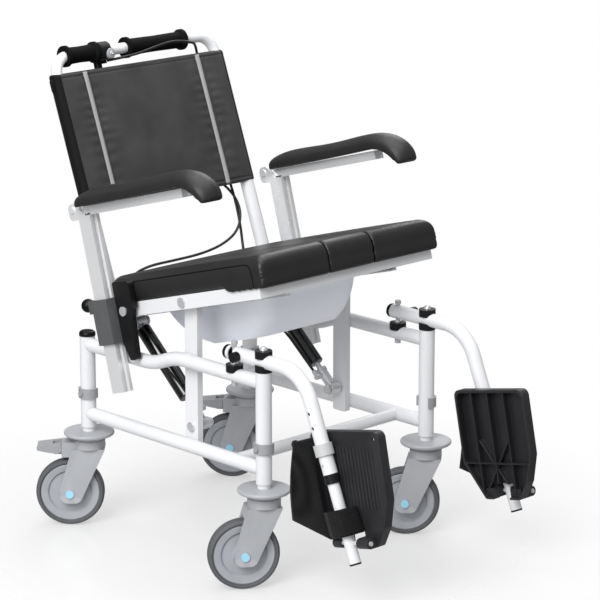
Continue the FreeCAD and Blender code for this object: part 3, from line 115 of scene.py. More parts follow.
def newMaterial(name):
    material = bpy.data.materials.new(name)
    material.use_nodes = True
    tree = material.node_tree
    tree.nodes.clear()
    return material, tree, addNode(tree, "ShaderNodeTexCoord").outputs["Object"]


def blendTone(tree, factor, low, high):
    return addNode(tree, "ShaderNodeMix", {"Factor": factor, 6: low, 7: high}, data_type="RGBA").outputs[2]


def finishMaterial(tree, inputs):
    shader = addNode(tree, "ShaderNodeBsdfPrincipled", inputs)
    addNode(tree, "ShaderNodeOutputMaterial", {"Surface": shader.outputs["BSDF"]})


# what every coated or moulded surface shares: spread of the roughness, relief, and wear of the edges
skin = {"cloudDetail": 4, "grainDetail": 3, "smoother": 0.05, "rougher": 0.07, "relief": 0.4, "bevelRays": 4,
        "wear": (0.52, 0.62), "coatRoughness": 0.12}


# patch and grain are pattern sizes and bump and edge are depths, all in metres
def surface(name, colours, roughness, patch, grain, bump, edge=0.0, coat=0.0, metallic=0.0, specular=0.5,
            scuff=0.0):
    material, tree, place = newMaterial(name)
    cloud = addNode(tree, "ShaderNodeTexNoise", {"Vector": place, "Scale": 1 / patch,
                                                 "Detail": skin["cloudDetail"]}).outputs["Fac"]
    tone = blendTone(tree, cloud, linear(colours[0]), linear(colours[1]))
    fine = addNode(tree, "ShaderNodeTexNoise", {"Vector": place, "Scale": 1 / grain,
                                                "Detail": skin["grainDetail"]}).outputs["Fac"]
    rough = addNode(tree, "ShaderNodeMapRange", {"Value": cloud, "To Min": roughness - skin["smoother"],
                                                 "To Max": roughness + skin["rougher"]})
    relief = addNode(tree, "ShaderNodeBump", {"Height": fine, "Strength": skin["relief"], "Distance": bump})
    if edge:
        rounded = addNode(tree, "ShaderNodeBevel", {"Radius": edge}, samples=skin["bevelRays"])
        tree.links.new(rounded.outputs["Normal"], relief.inputs["Normal"])
    if scuff:
        geometry = addNode(tree, "ShaderNodeNewGeometry")
        worn = addNode(tree, "ShaderNodeMapRange", {"Value": geometry.outputs["Pointiness"],
                                                    "From Min": skin["wear"][0], "From Max": skin["wear"][1],
                                                    "To Max": scuff})
        tone = blendTone(tree, worn.outputs["Result"], tone, linear(colours[2]))
    finishMaterial(tree, {"Base Color": tone, "Roughness": rough.outputs["Result"],
                          "Normal": relief.outputs["Normal"], "Metallic": metallic, "Coat Weight": coat,
                          "Coat Roughness": skin["coatRoughness"], "Specular IOR Level": specular})
    return material


# powder coat, sprayed and baked on tube: soft white with a faint orange peel
whiteCoat = surface("whitePowderCoat", ("#d0d1d4", "#dadbdd"), roughness=0.36, patch=0.09, grain=0.0022,
                    bump=0.00012, edge=0.0008, coat=0.2)
# foam moulded with a skin: satin black with a fine leather grain, and near-black painted shade for the
# grooves of its seams and the gap round the insert
skinFoam = surface("skinFoam", ("#1e1e1f", "#282829"), roughness=0.36, patch=0.06, grain=0.0015, bump=0.0005,
                   specular=0.34)
paintedGrooveShade = surface("paintedGrooveShade", ("#020202", "#040404"), roughness=0.8, patch=0.06, grain=0.0015, bump=0.0002,
                    specular=0.1)
armFoam = surface("armFoam", ("#1e1e1f", "#29292a"), roughness=0.42, patch=0.05, grain=0.0013, bump=0.0005,
                  specular=0.36)
# moulded nylon: grey casters and clips, dark sleeves, black brackets and footplates with paler worn edges
greyShell = surface("greyNylon", ("#96989c", "#a3a5a9", "#b9bbbe"), roughness=0.42, patch=0.03, grain=0.0012,
                    bump=0.00012, edge=0.0012, scuff=0.3)
greyWheel = surface("greyWheelNylon", ("#92959a", "#9fa2a7", "#b4b6b9"), roughness=0.4, patch=0.02,
                    grain=0.0012, bump=0.0001, edge=0.0008, scuff=0.3)
greyClip = surface("greyClipNylon", ("#85878a", "#929497", "#a6a8aa"), roughness=0.42, patch=0.02,
                   grain=0.0012, bump=0.0001, edge=0.0006, scuff=0.3)
paleClip = surface("paleClipNylon", ("#a4a6a8", "#b1b3b5", "#c4c5c6"), roughness=0.42, patch=0.02,
                   grain=0.0012, bump=0.0001, edge=0.0006, scuff=0.3)
sleeveNylon = surface("sleeveNylon", ("#3a3b3d", "#464749", "#626365"), roughness=0.5, patch=0.02,
                      grain=0.0009, bump=0.0003, edge=0.0008, scuff=0.4)
blackNylon = surface("blackNylon", ("#080809", "#0d0d0e", "#2c2c2e"), roughness=0.34, patch=0.03,
                     grain=0.0011, bump=0.0002, edge=0.0008, specular=0.2, scuff=0.3)
plateNylon = surface("footplateNylon", ("#19191b", "#232326", "#404044"), roughness=0.36, patch=0.05,
                     grain=0.0009, bump=0.00028, edge=0.001, specular=0.35, scuff=0.3)
# rubber: dull grey moulded tyres, paler at the edges, grips of foam with open pores, extruded cable sheath
tyreRubber = surface("tyreRubber", ("#484a4d", "#545659", "#707173"), roughness=0.68, patch=0.02,
                     grain=0.0009, bump=0.00025, scuff=0.3)
gripFoam = surface("gripFoam", ("#050506", "#0d0d0e"), roughness=0.75, patch=0.003, grain=0.0011, bump=0.0011,
                   specular=0.12)
cableSheath = surface("cableSheath", ("#0f0f10", "#171718"), roughness=0.4, patch=0.03, grain=0.001,
                      bump=0.00005)
# metals: satin anodised posts, bright turned pins, black enamelled cylinders
anodised = surface("satinAluminium", ("#e6e7e9", "#f3f4f5"), roughness=0.28, patch=0.12, grain=0.0006,
                   bump=0.00006, edge=0.0006, metallic=0.5)
brightSteel = surface("brightSteel", ("#d2d4d6", "#e8e9ea"), roughness=0.22, patch=0.02, grain=0.0009,
                      bump=0.00004, edge=0.0005, metallic=0.6)
blackEnamel = surface("blackEnamel", ("#060607", "#0b0b0c"), roughness=0.16, patch=0.04, grain=0.002,
                      bump=0.00004, edge=0.0008, coat=0.6)
# moulded polypropylene: pale blue axle caps and the milky blue pan
blueCap = surface("blueCap", ("#8dc1d8", "#a0cfe3"), roughness=0.4, patch=0.006, grain=0.0009, bump=0.00005,
                  edge=0.0008)
panPlastic = surface("panPolypropylene", ("#eff3ff", "#f8faff"), roughness=0.36, patch=0.08, grain=0.004,
                     bump=0.00012, edge=0.001)


# woven cloth: a wave texture of scale 1 repeats every 0.314 m, and threads are drawn coarse enough to show
weave = {"wave": 0.314, "distortion": 0.8, "waveDetail": 1, "patch": 0.0625, "cloudDetail": 5,
         "relief": 0.5, "depth": 0.4, "stitchWidth": 0.0006, "stitchPitch": 0.0045, "stitchGap": 0.0014,
         "sheen": 0.05, "sheenRoughness": 0.5, "specular": 0.14}


# crossing waves at the thread pitch, lighter on the raised threads, with rows of stitches beside the seams
def cloth(name, colours, thread, roughness, seams=()):
    material, tree, place = newMaterial(name)
    level = addNode(tree, "ShaderNodeMapping", {"Vector": place,
                                                "Rotation": (seatUnit["tilt"], 0, 0)}).outputs["Vector"]
    bands = []
    for way in ("X", "Z"):
        wave = addNode(tree, "ShaderNodeTexWave", {"Vector": level, "Scale": weave["wave"] / thread,
                                                   "Distortion": weave["distortion"],
                                                   "Detail": weave["waveDetail"]}, bands_direction=way)
        bands.append(wave.outputs["Fac"])
    threads = addNode(tree, "ShaderNodeMath", {0: bands[0], 1: bands[1]}, operation="MULTIPLY").outputs[0]
    cloud = addNode(tree, "ShaderNodeTexNoise", {"Vector": level, "Scale": 1 / weave["patch"],
                                                 "Detail": weave["cloudDetail"]}).outputs["Fac"]
    factor = addNode(tree, "ShaderNodeMath", {0: threads, 1: cloud}, operation="MULTIPLY").outputs[0]
    tone = blendTone(tree, factor, linear(colours[0]), linear(colours[1]))
    parts = addNode(tree, "ShaderNodeSeparateXYZ", {"Vector": level})
    for row in seams:
        across = addNode(tree, "ShaderNodeMath", {0: parts.outputs["X"]}, operation="ABSOLUTE").outputs[0]
        near = addNode(tree, "ShaderNodeMath", {0: across, 1: row, 2: weave["stitchWidth"]},
                       operation="COMPARE").outputs[0]
        pitch = addNode(tree, "ShaderNodeMath", {0: parts.outputs["Z"], 1: weave["stitchPitch"]},
                        operation="MODULO").outputs[0]
        between = addNode(tree, "ShaderNodeMath", {0: pitch, 1: weave["stitchGap"]},
                          operation="GREATER_THAN").outputs[0]
        stitch = addNode(tree, "ShaderNodeMath", {0: near, 1: between}, operation="MULTIPLY").outputs[0]
        tone = blendTone(tree, stitch, tone, linear(colours[2]))
    relief = addNode(tree, "ShaderNodeBump", {"Height": threads, "Strength": weave["relief"],
                                              "Distance": thread * weave["depth"]})
    finishMaterial(tree, {"Base Color": tone, "Roughness": roughness, "Normal": relief.outputs["Normal"],
                          "Sheen Weight": weave["sheen"], "Sheen Roughness": weave["sheenRoughness"],
                          "Specular IOR Level": weave["specular"]})
    return material


# polyester cover in mid grey, its dark sleeves, pale piping tape and ribbed nylon webbing
coverCloth = cloth("coverCloth", ("#262626", "#7c7c7d", "#222223"), thread=0.0011, roughness=0.6,
                   seams=(0.1265, 0.1435))
sleeveCloth = cloth("sleeveCloth", ("#08080a", "#141416"), thread=0.0011, roughness=0.6)
pipingTape = cloth("pipingTape", ("#8f9092", "#b9babc"), thread=0.0009, roughness=0.55)
webbing = cloth("nylonWebbing", ("#030304", "#2c2c2e"), thread=0.0028, roughness=0.6)

# nodes of the frame by finish, then those that come as a right and a left one
finishes = {
    whiteCoat: ["leg_tubes", "side_rails", "tilt_posts", "leg_stems", "seat_frame", "back_tubes", "push_bar"],
    blackNylon: ["leg_caps", "lever_clamp", "tilt_lever", "rear_brackets"],
    brightSteel: ["frame_bolts", "seat_bolts"], greyClip: ["height_clips"], greyShell: ["bumper_discs"],
    gripFoam: ["push_grips"], sleeveNylon: ["arm_sleeves"], panPlastic: ["commode_pan"]}
pairs = {
    whiteCoat: ["hanger_tube", "foot_tube"], blackNylon: ["hanger_fittings", "latch_knob", "plunger"],
    plateNylon: ["footplate"], blackEnamel: ["gas_cylinder"], brightSteel: ["gas_rod"],
    anodised: ["arm_post", "arm_bar"]}
for material, names in pairs.items():
    finishes[material] = finishes.get(material, []) + [name + "_" + side for name in names for side in sides]
for name in caster["headings"]:
    finishes[greyShell].append("fork_" + name)
    finishes.setdefault(greyWheel, []).append("wheel_" + name)
    finishes.setdefault(tyreRubber, []).append("tyre_" + name)
    if name.startswith("rear"):
        finishes[greyClip].append("brake_pedal_" + name)


def paint(obj, material):
    obj.data.materials.clear()
    obj.data.materials.append(material)


def paintWhere(obj, material, test):
    obj.data.materials.append(material)
    index = len(obj.data.materials) - 1
    place = obj.matrix_world
    for polygon in obj.data.polygons:
        if test(place @ polygon.center):
            polygon.material_index = index


for material, names in finishes.items():
    for name in names:
        paint(nodes[name], material)

# pieces of one node that are another material: caps, rings, tips and eyes
hanger = {"corner": Vector((0.2, -0.3274, 0.402)), "slope": math.radians(22.5), "ring": (0.1228, 0.1432),
          "ringRadius": 0.018, "tip": 0.3282, "tube": 0.0104}
spring = {"eye": seatPoint(0.16, 0.185, -0.027), "foot": Vector((0.16, -0.035, 0.241)), "eyeReach": 0.024}
hangerDown = Vector((0, -math.sin(hanger["slope"]), -math.cos(hanger["slope"])))
hangerRear = Vector((0, math.cos(hanger["slope"]), -math.sin(hanger["slope"])))


def hangerReach(place):
    return (Vector((abs(place.x), place.y, place.z)) - hanger["corner"]).dot(hangerDown)


def hangerOffset(place):
    local = Vector((abs(place.x), place.y, place.z)) - hanger["corner"]
    return (local - hangerDown * local.dot(hangerDown)).length


for side in sides:
    paintWhere(nodes["hanger_fittings_" + side], paleClip,
               lambda p: hanger["ring"][0] < hangerReach(p) < hanger["ring"][1]
               and hangerOffset(p) < hanger["ringRadius"])
    paintWhere(nodes["foot_tube_" + side], brightSteel, lambda p: hangerOffset(p) > hanger["tube"])
    paintWhere(nodes["foot_tube_" + side], blackNylon, lambda p: hangerReach(p) > hanger["tip"])
    paintWhere(nodes["gas_cylinder_" + side], brightSteel,
               lambda p: (Vector((abs(p.x), p.y, p.z)) - spring["eye"]).length < spring["eyeReach"])
for name, heading in caster["headings"].items():
    corner = Vector((-caster["across"] if name.endswith("right") else caster["across"],
                     -caster["along"] if name.startswith("front") else caster["along"], 0))
    along = Vector((math.cos(math.radians(heading)), math.sin(math.radians(heading)), 0))
    aside = Vector((-along.y, along.x, 0))
    paintWhere(nodes["fork_" + name], blueCap, lambda p: abs((p - corner).dot(aside)) > caster["capOut"]
               and (p - corner).dot(along) > caster["capAhead"] and p.z < caster["capTop"])
print("stage: materials set")


def newPiece(name, mesh, material, body):
    obj = bpy.data.objects.new(name, mesh)
    scene.collection.objects.link(obj)
    paint(obj, material)
    obj.data.shade_smooth()
    if body:
        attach(obj, body)
    return obj


def meshFrom(name, points, faces):
    mesh = bpy.data.meshes.new(name)
    mesh.from_pydata([tuple(p) for p in points], [], faces)
    mesh.update()
    return mesh


# four-sided faces between neighbouring rows of points
def gridFaces(rows, columns, closed):
    faces = []
    for i in range(rows - 1):
        for j in range(columns if closed else columns - 1):
            k = (j + 1) % columns
            faces.append((i * columns + j, i * columns + k, (i + 1) * columns + k, (i + 1) * columns + j))
    return faces


# a skin over closed rings, capped at both ends
def loopMesh(name, rings):
    columns = len(rings[0])
    faces = gridFaces(len(rings), columns, True)
    faces.append(tuple(reversed(range(columns))))
    faces.append(tuple((len(rings) - 1) * columns + j for j in range(columns)))
    return meshFrom(name, [p for ring in rings for p in ring], faces)


# rings along a path, each carried on from the last without twist
def tubeRings(path, radius, count):
    rings = []
    for i, place in enumerate(path):
        ahead = (path[min(i + 1, len(path) - 1)] - path[max(i - 1, 0)]).normalized()
        first = ahead.orthogonal().normalized() if i == 0 else (first - ahead * first.dot(ahead)).normalized()
        second = ahead.cross(first)
        rings.append([place + (first * math.cos(a) + second * math.sin(a)) * radius
                      for a in [2 * math.pi * j / count for j in range(count)]])
    return rings


# release cables: the routes of the source in millimetres, as places across, behind the back tubes and up;
# entries are shares of the way up the spring with the step inboard there, from the last bend to the head
cable = {"radius": 0.0025, "sides": 12, "order": 3, "steps": 10, "clamp": -77, "clampRadius": 17,
         "spoutReach": 17.5, "spoutTurn": math.radians(-41), "headLength": 0.044, "inboard": 0.018,
         "entries": ((0.42, 0.004), (0.21, 0.002), (0.0022, 0))}
nearDrop = [(cable["clamp"] - 3, cable["clampRadius"] - 2.4, 434.5), (-79, 23, 400), (-52, 23, 350),
            (0, 21, 300), (60, 21, 250), (120, 20, 210), (162, 16, 170), (170, 12, 130), (146, 7, 95),
            (100, 3, 76), (40, 0.5, 67), (-30, 0.5, 66), (-85, 4.5, 66), (-120, 15, 56), (-138, 21, 26),
            (-140, 11, -14), (-139, -10, -60)]
spoutAcross = cable["clamp"] + cable["spoutReach"] * math.cos(cable["spoutTurn"])
spoutBehind = cable["clampRadius"] + cable["spoutReach"] * math.sin(cable["spoutTurn"])
farDrop = [(spoutAcross, spoutBehind + 1.5, 446), (-27, -25, 446), (36, -25.5, 457), (72, -26, 462),
           (124, -24, 455), (160, 14, 446), (168, 28, 394), (165, 26.5, 345), (162, 24, 300), (161, 22, 255),
           (164, 20.5, 210), (168, 19.5, 162), (165, 18, 110), (156, 18, 57), (146, 14.5, 5), (139, 1, -45)]
springWay = (spring["eye"] - spring["foot"]).normalized()
springLength = (spring["eye"] - spring["foot"]).length


def cableRoute(places, mirror):
    points = [seatPoint(x / 1000, backAxis(w / 1000) + behind / 1000, w / 1000) for x, behind, w in places]
    for share, inboard in cable["entries"]:
        place = spring["foot"] + springWay * (cable["headLength"] + share * springLength)
        points.append(Vector(((place.x - cable["inboard"] - inboard) * mirror, place.y, place.z)))
    return points


def layCable(name, points):
    curve = bpy.data.curves.new(name, "CURVE")
    curve.dimensions = "3D"
    spline = curve.splines.new("NURBS")
    spline.points.add(len(points) - 1)
    for knot, place in zip(spline.points, points):
        knot.co = (*place, 1)
    spline.order_u = cable["order"]
    spline.use_endpoint_u = True
    spline.resolution_u = cable["steps"]
    holder = bpy.data.objects.new(name + "Line", curve)
    scene.collection.objects.link(holder)
    bpy.context.view_layer.update()
    line = bpy.data.meshes.new_from_object(holder)
    path = [v.co.copy() for v in line.vertices]
    bpy.data.objects.remove(holder)
    bpy.data.meshes.remove(line)
    obj = bpy.data.objects.new(name, loopMesh(name, tubeRings(path, cable["radius"], cable["sides"])))
    scene.collection.objects.link(obj)
    paint(obj, cableSheath)
    obj.data.shade_smooth()
    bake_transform(obj)
    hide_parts("release_cables")


layCable("nearReleaseCable", cableRoute(nearDrop, -1))
layCable("farReleaseCable", cableRoute(farDrop, 1))
print("stage: cables laid")


# foam pieces: the solid's shape with softened edges, then a crowned top
def softCopy(node, name, material, body, settings):
    obj = newPiece(name, nodes[node].data.copy(), material, body)
    voxels = obj.modifiers.new("voxels", "REMESH")
    voxels.mode = "VOXEL"
    voxels.voxel_size = settings["voxel"]
    soften = obj.modifiers.new("soften", "SMOOTH")
    soften.iterations = settings["soften"]
    finer = obj.modifiers.new("finer", "SUBSURF")
    finer.levels = finer.render_levels = 1
    bpy.context.view_layer.update()
    result = bpy.data.meshes.new_from_object(obj.evaluated_get(bpy.context.evaluated_depsgraph_get()))
    obj.modifiers.clear()
    obj.data = result
    paint(obj, material)
    obj.data.shade_smooth()
    for vertex in obj.data.vertices:
        vertex.co = seatPoint(*settings["shape"](seatLevel(vertex.co)))
    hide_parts(node)
    return obj


# seat pad and insert, in level places: the bowl is its half width, half length and middle
pad = {"voxel": 0.004, "soften": 6, "top": 0.0588, "shoulder": 0.022, "crown": 0.004, "halfWidth": 0.2135,
       "front": -0.2237, "rear": 0.193, "corner": 0.026, "square": 5.5, "cornerFoot": (0.022, 0.030),
       "neck": 0.0543, "bowl": (0.0923, 0.1038, 0.0085), "bowlCorner": 0.07, "groove": 0.0016}


# upper front corners fill out to the squarer nose below, and the top swells towards the middle
def padShape(level):
    high = max(0, (level.z - (pad["top"] - pad["shoulder"])) / pad["shoulder"])
    across = math.cos(math.pi / 2 * min(1, abs(level.x) / pad["halfWidth"]))
    length = math.sin(math.pi * min(1, max(0, (level.y - pad["front"]) / (pad["rear"] - pad["front"]))))
    level.z += pad["crown"] * high * math.sqrt(max(0, across * length))
    turn = Vector((abs(level.x) - pad["halfWidth"] + pad["corner"], pad["front"] + pad["corner"] - level.y))
    if turn.x > 0 and turn.y > 0:
        low, tall = pad["cornerFoot"]
        way = turn.normalized()
        fuller = (way.x ** pad["square"] + way.y ** pad["square"]) ** (-1 / pad["square"]) - 1
        turn *= 1 + fuller * min(1, max(0, (level.z - low) / (tall - low)))
        level.x = math.copysign(turn.x + pad["halfWidth"] - pad["corner"], level.x)
        level.y = pad["front"] + pad["corner"] - turn.y
    return level


# distance from the edge of the commode opening, a bowl with a neck to the front
def openingEdge(level):
    half, length, middle = pad["bowl"]
    x = abs(level.x) - half + pad["bowlCorner"]
    y = abs(level.y - middle) - length + pad["bowlCorner"]
    bowl = math.hypot(max(x, 0), max(y, 0)) + min(max(x, y), 0) - pad["bowlCorner"]
    neck = max(abs(level.x) - pad["neck"], level.y)
    return abs(min(bowl, neck))


pad["shape"] = padShape
armPad = {"voxel": 0.003, "soften": 5, "shape": lambda level: level}
seatPad = softCopy("seat_pad", "seatPad", skinFoam, "seat", pad)
seatInsert = softCopy("seat_insert", "seatInsert", skinFoam, "insert", pad)
# faces within the groove width of the opening's edge are painted near-black: painted shade of the gap round
# the insert
for obj in (seatPad, seatInsert):
    paintWhere(obj, paintedGrooveShade, lambda p: openingEdge(seatLevel(p)) < pad["groove"])
for side in sides:
    softCopy("arm_pad_" + side, "armPad" + side.title(), armFoam, "arm_" + side, armPad)

# welt seam round each side panel of the seat, found from just outside the foam and pressed onto it: a thin
# near-black tube, painted shade of the seam's groove
seam = {"radius": 0.0011, "sides": 8, "top": 0.051, "front": -0.198, "rear": 0.17, "low": 0.006,
        "turn": 0.018, "sink": 0.0004, "outside": 0.004, "topSteps": 60, "turnSteps": 12}
seamStart = seam["front"] + seam["turn"]
seamFall = seam["low"] - seam["top"] + seam["turn"]
padTree = BVHTree.FromPolygons([v.co for v in seatPad.data.vertices],
                               [p.vertices for p in seatPad.data.polygons])
for side, sign in (("Right", -1), ("Left", 1)):
    line = []
    for i in range(seam["topSteps"] + 1):
        line.append((seam["rear"] + (seamStart - seam["rear"]) * i / seam["topSteps"], seam["top"]))
    for i in range(1, seam["turnSteps"] + 1):
        turn = math.pi / 2 * i / seam["turnSteps"]
        line.append((seam["front"] + seam["turn"] * (1 - math.sin(turn)),
                     seam["top"] - seam["turn"] * (1 - math.cos(turn))))
    for i in range(1, seam["turnSteps"] + 1):
        line.append((seam["front"], seam["top"] - seam["turn"] + seamFall * i / seam["turnSteps"]))
    path = []
    for u, w in line:
        outside = seatPoint(sign * (pad["halfWidth"] + seam["outside"]), u, w)
        place, normal = padTree.find_nearest(outside)[:2]
        path.append(place - normal * seam["sink"])
    welt = loopMesh("padSeam" + side, tubeRings(path, seam["radius"], seam["sides"]))
    newPiece("padSeam" + side, welt, paintedGrooveShade, "seat")
print("stage: foam pieces made")

# backrest cover: sleeves on the tubes, a padded panel and two lines of piping with puckers beside them
cover = {"sleeve": 0.015, "tube": 0.190, "low": 0.182, "high": 0.434, "sag": 0.008, "thick": 0.017,
         "piping": 0.135, "pipingWidth": 0.010, "puff": 0.010, "puffPower": 4, "sidePuff": 0.005,
         "sideWidth": 0.055, "pucker": 0.0016, "puckerPitch": 0.019, "puckerClear": 0.7, "puckerFade": 0.013,
         "puckerStart": 0.004, "drift": (2.2, 37), "leftDrift": 1.3, "hem": 0.009, "hemDepth": 0.0016,
         "hemWidth": 0.0016, "join": 0.02, "closing": 0.55, "closeHeight": 0.005, "sleeveEdge": 0.003,
         "backEdge": 0.004, "frontSteps": 150, "turnSteps": 14, "backSteps": 60, "rows": 110}


# depth of the cover's front from the axis of the back tubes, with its swell, puckers and hem
def frontDepth(x, w):
    depth = -cover["sleeve"] + cover["sag"] * (1 - (x / cover["tube"]) ** 2)
    share = abs(x) / cover["piping"]
    height = (w - cover["low"]) / (cover["high"] - cover["low"])
    swell = math.sqrt(max(0, math.sin(math.pi * min(1, max(0, height)))))
    if share < 1:
        depth -= cover["puff"] * (1 - share ** cover["puffPower"]) * swell
    else:
        aside = min(1, (abs(x) - cover["piping"]) / cover["sideWidth"])
        depth -= cover["sidePuff"] * math.sin(math.pi * aside) * swell
    away = max(0, abs(abs(x) - cover["piping"]) - cover["pipingWidth"] * cover["puckerClear"])
    beside = math.exp(-away / cover["puckerFade"]) * min(1, away / cover["puckerStart"])
    drift = cover["drift"][0] * math.sin(cover["drift"][1] * w)
    wave = math.sin(2 * math.pi * w / cover["puckerPitch"] + drift + (cover["leftDrift"] if x > 0 else 0))
    depth += cover["pucker"] * beside * wave * swell
    edge = min(w - cover["low"], cover["high"] - w)
    depth += cover["hemDepth"] * math.exp(-((edge - cover["hem"]) / cover["hemWidth"]) ** 2)
    return depth


# one level ring of the cover: front, left sleeve, back and right sleeve, closing in at the top and foot
def coverRing(w):
    ring = []
    for i in range(cover["frontSteps"] + 1):
        x = -cover["tube"] + 2 * cover["tube"] * i / cover["frontSteps"]
        ring.append((x, frontDepth(x, w)))
    for i in range(1, cover["turnSteps"]):
        turn = -math.pi / 2 + math.pi * i / cover["turnSteps"]
        ring.append((cover["tube"] + cover["sleeve"] * math.cos(turn), cover["sleeve"] * math.sin(turn)))
    for i in range(cover["backSteps"] + 1):
        x = cover["tube"] - 2 * cover["tube"] * i / cover["backSteps"]
        near = min(1, (cover["tube"] - abs(x)) / cover["join"])
        panel = cover["thick"] - cover["sleeve"] + cover["sag"] * (1 - (x / cover["tube"]) ** 2)
        ring.append((x, (1 - near) * cover["sleeve"] + near * panel))
    for i in range(1, cover["turnSteps"]):
        turn = math.pi / 2 + math.pi * i / cover["turnSteps"]
        ring.append((-cover["tube"] + cover["sleeve"] * math.cos(turn), cover["sleeve"] * math.sin(turn)))
    middle = cover["thick"] / 2 - cover["sleeve"] + cover["sag"]
    edge = min(w - cover["low"], cover["high"] - w)
    close = 1 - cover["closing"] * max(0, 1 - edge / cover["closeHeight"]) ** 2
    places = []
    for x, depth in ring:
        core = middle if abs(x) < cover["tube"] - cover["join"] else 0
        places.append(seatPoint(x, backAxis(w) + core + (depth - core) * close, w))
    return places


rings = []
for i in range(cover["rows"] + 1):
    share = 0.5 - 0.5 * math.cos(math.pi * i / cover["rows"])
    rings.append(coverRing(cover["low"] + (cover["high"] - cover["low"]) * share))
backCover = newPiece("backCover", loopMesh("backCover", rings), coverCloth, "seat")
paintWhere(backCover, sleeveCloth, lambda p: abs(p.x) > cover["tube"] + cover["sleeveEdge"]
           or seatLevel(p).y > backAxis(seatLevel(p).z) + cover["backEdge"])
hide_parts("backrest_cover")

# flat piping tape down each seam, with a rounded face
piping = {"rows": 60, "sides": 14, "end": 0.003, "sink": 0.0002, "rise": 0.0026}
pipingLength = cover["high"] - cover["low"] - 2 * piping["end"]
for side, sign in (("Right", -1), ("Left", 1)):
    rings = []
    for i in range(piping["rows"]):
        w = cover["low"] + piping["end"] + pipingLength * i / (piping["rows"] - 1)
        depth = frontDepth(sign * cover["piping"], w)
        rings.append([seatPoint(sign * cover["piping"] + cover["pipingWidth"] / 2 * math.cos(a),
                                backAxis(w) + depth - piping["sink"] + piping["rise"] * math.sin(a), w)
                      for a in [2 * math.pi * j / piping["sides"] for j in range(piping["sides"])]])
    newPiece("piping" + side, loopMesh("piping" + side, rings), pipingTape, "seat")

# tab of the cover's closing strip at the top of the right sleeve
tab = {"low": 0.402, "high": 0.426, "end": 0.003, "thin": 0.55, "out": 0.0035, "sink": 0.001, "wide": 0.011,
       "sides": 16}
rings = []
for w in (tab["low"], tab["low"] + tab["end"], tab["high"] - tab["end"], tab["high"]):
    thin = tab["thin"] if w in (tab["low"], tab["high"]) else 1
    rings.append([seatPoint(-cover["tube"] - cover["sleeve"] - tab["out"] * thin * (0.5 + 0.5 * math.cos(a))
                            + tab["sink"], backAxis(w) + tab["wide"] / 2 * thin * math.sin(a), w)
                  for a in [2 * math.pi * j / tab["sides"] for j in range(tab["sides"])]])
newPiece("coverTab", loopMesh("coverTab", rings), sleeveCloth, "seat")
print("stage: backrest cover made")

# heel straps: a hanging web whose lower edge slants into a band that turns forward round the foot tube
strap = {"clip": 0.113, "bandTop": 0.235, "band": 0.046, "thick": 0.0024, "top": (0.020, 0.064),
         "foot": (0.034, 0.116), "web": 0.0054, "bow": 0.006, "rows": 20, "columns": 13}
# the band's way round the tube, as places rearward and outboard
bandTurn = [(0.034, 0.0054), (0.020, 0.0097), (0.006, 0.0138), (0, 0.0147), (-0.010, 0.0149),
            (-0.0165, 0.0138), (-0.0205, 0.009), (-0.0235, 0.004), (-0.028, -0.0025), (-0.0315, -0.009)]


def strapPoint(rearward, outboard, reach, sign):
    place = hanger["corner"] + hangerDown * reach + hangerRear * rearward
    return Vector((sign * (place.x + outboard), place.y, place.z))


# webbing with its thickness between two edges
def strip(name, edgeA, edgeB, sign):
    count = len(edgeA)
    columns = strap["columns"]
    points = []
    for lift in (0, strap["thick"]):
        for a, b in zip(edgeA, edgeB):
            for j in range(columns):
                rearward, outboard, reach = [p + (q - p) * j / (columns - 1) for p, q in zip(a, b)]
                points.append(strapPoint(rearward, outboard + lift, reach, sign))
    half = count * columns
    inner = gridFaces(count, columns, False)
    faces = inner + [tuple(k + half for k in reversed(f)) for f in inner]
    rim = list(range(columns)) + [i * columns + columns - 1 for i in range(1, count)]
    rim += [(count - 1) * columns + j for j in reversed(range(columns - 1))]
    rim += [i * columns for i in reversed(range(1, count - 1))]
    faces += [(k, j, j + half, k + half) for j, k in zip(rim, rim[1:] + rim[:1])]
    if sign > 0:
        faces = [tuple(reversed(f)) for f in faces]
    return meshFrom(name, points, faces)


def heelStrap(side, sign):
    edgeA = []
    edgeB = []
    low = strap["bandTop"] + strap["band"]
    for i in range(strap["rows"] + 1):
        share = i / strap["rows"]
        reach = strap["clip"] + (low - strap["clip"]) * share
        slide = min(1, (reach - strap["clip"]) / (strap["bandTop"] - strap["clip"]))
        bow = strap["web"] + strap["bow"] * math.sin(math.pi * share)
        edgeA.append((strap["top"][0] + (strap["foot"][0] - strap["top"][0]) * slide, strap["web"], reach))
        edgeB.append((strap["top"][1] + (strap["foot"][1] - strap["top"][1]) * share, bow,
                      strap["clip"] + (strap["bandTop"] - strap["clip"]) * share))
    web = newPiece("heelWeb" + side.title(), strip("heelWeb", edgeA, edgeB, sign), webbing, None)
    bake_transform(web)
    edgeA = [(rearward, outboard, strap["bandTop"]) for rearward, outboard in bandTurn]
    edgeB = [(rearward, outboard, low) for rearward, outboard in bandTurn]
    band = newPiece("heelBand" + side.title(), strip("heelBand", edgeA, edgeB, sign), webbing,
                    "foot_" + side)
    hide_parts("heel_strap_" + side)
    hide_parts("heel_strap_" + side)


heelStrap("right", -1)
heelStrap("left", 1)
print("stage: straps made")


# small turned pieces: each section is rings of (radius, rise) about a centre and an axis
small = {"sides": 24,
         "plate": [(0.0095, -0.006), (0.0095, 0.0012), (0.0085, 0.002), (0.0002, 0.0022)],
         "plateAcross": -0.069, "plateAhead": 0.0165, "plateDrop": 0.007,
         "screw": [(0.0034, 0), (0.0034, 0.0012), (0.0028, 0.0019), (0.0014, 0.0021), (0.0013, 0.0008),
                   (0.0002, 0.0008)],
         "screwRise": 0.0021,
         "button": [(0.0052, -0.001), (0.0075, 0), (0.0075, 0.004), (0.006, 0.0056), (0.0002, 0.006)],
         "buttonRear": 0.0635}


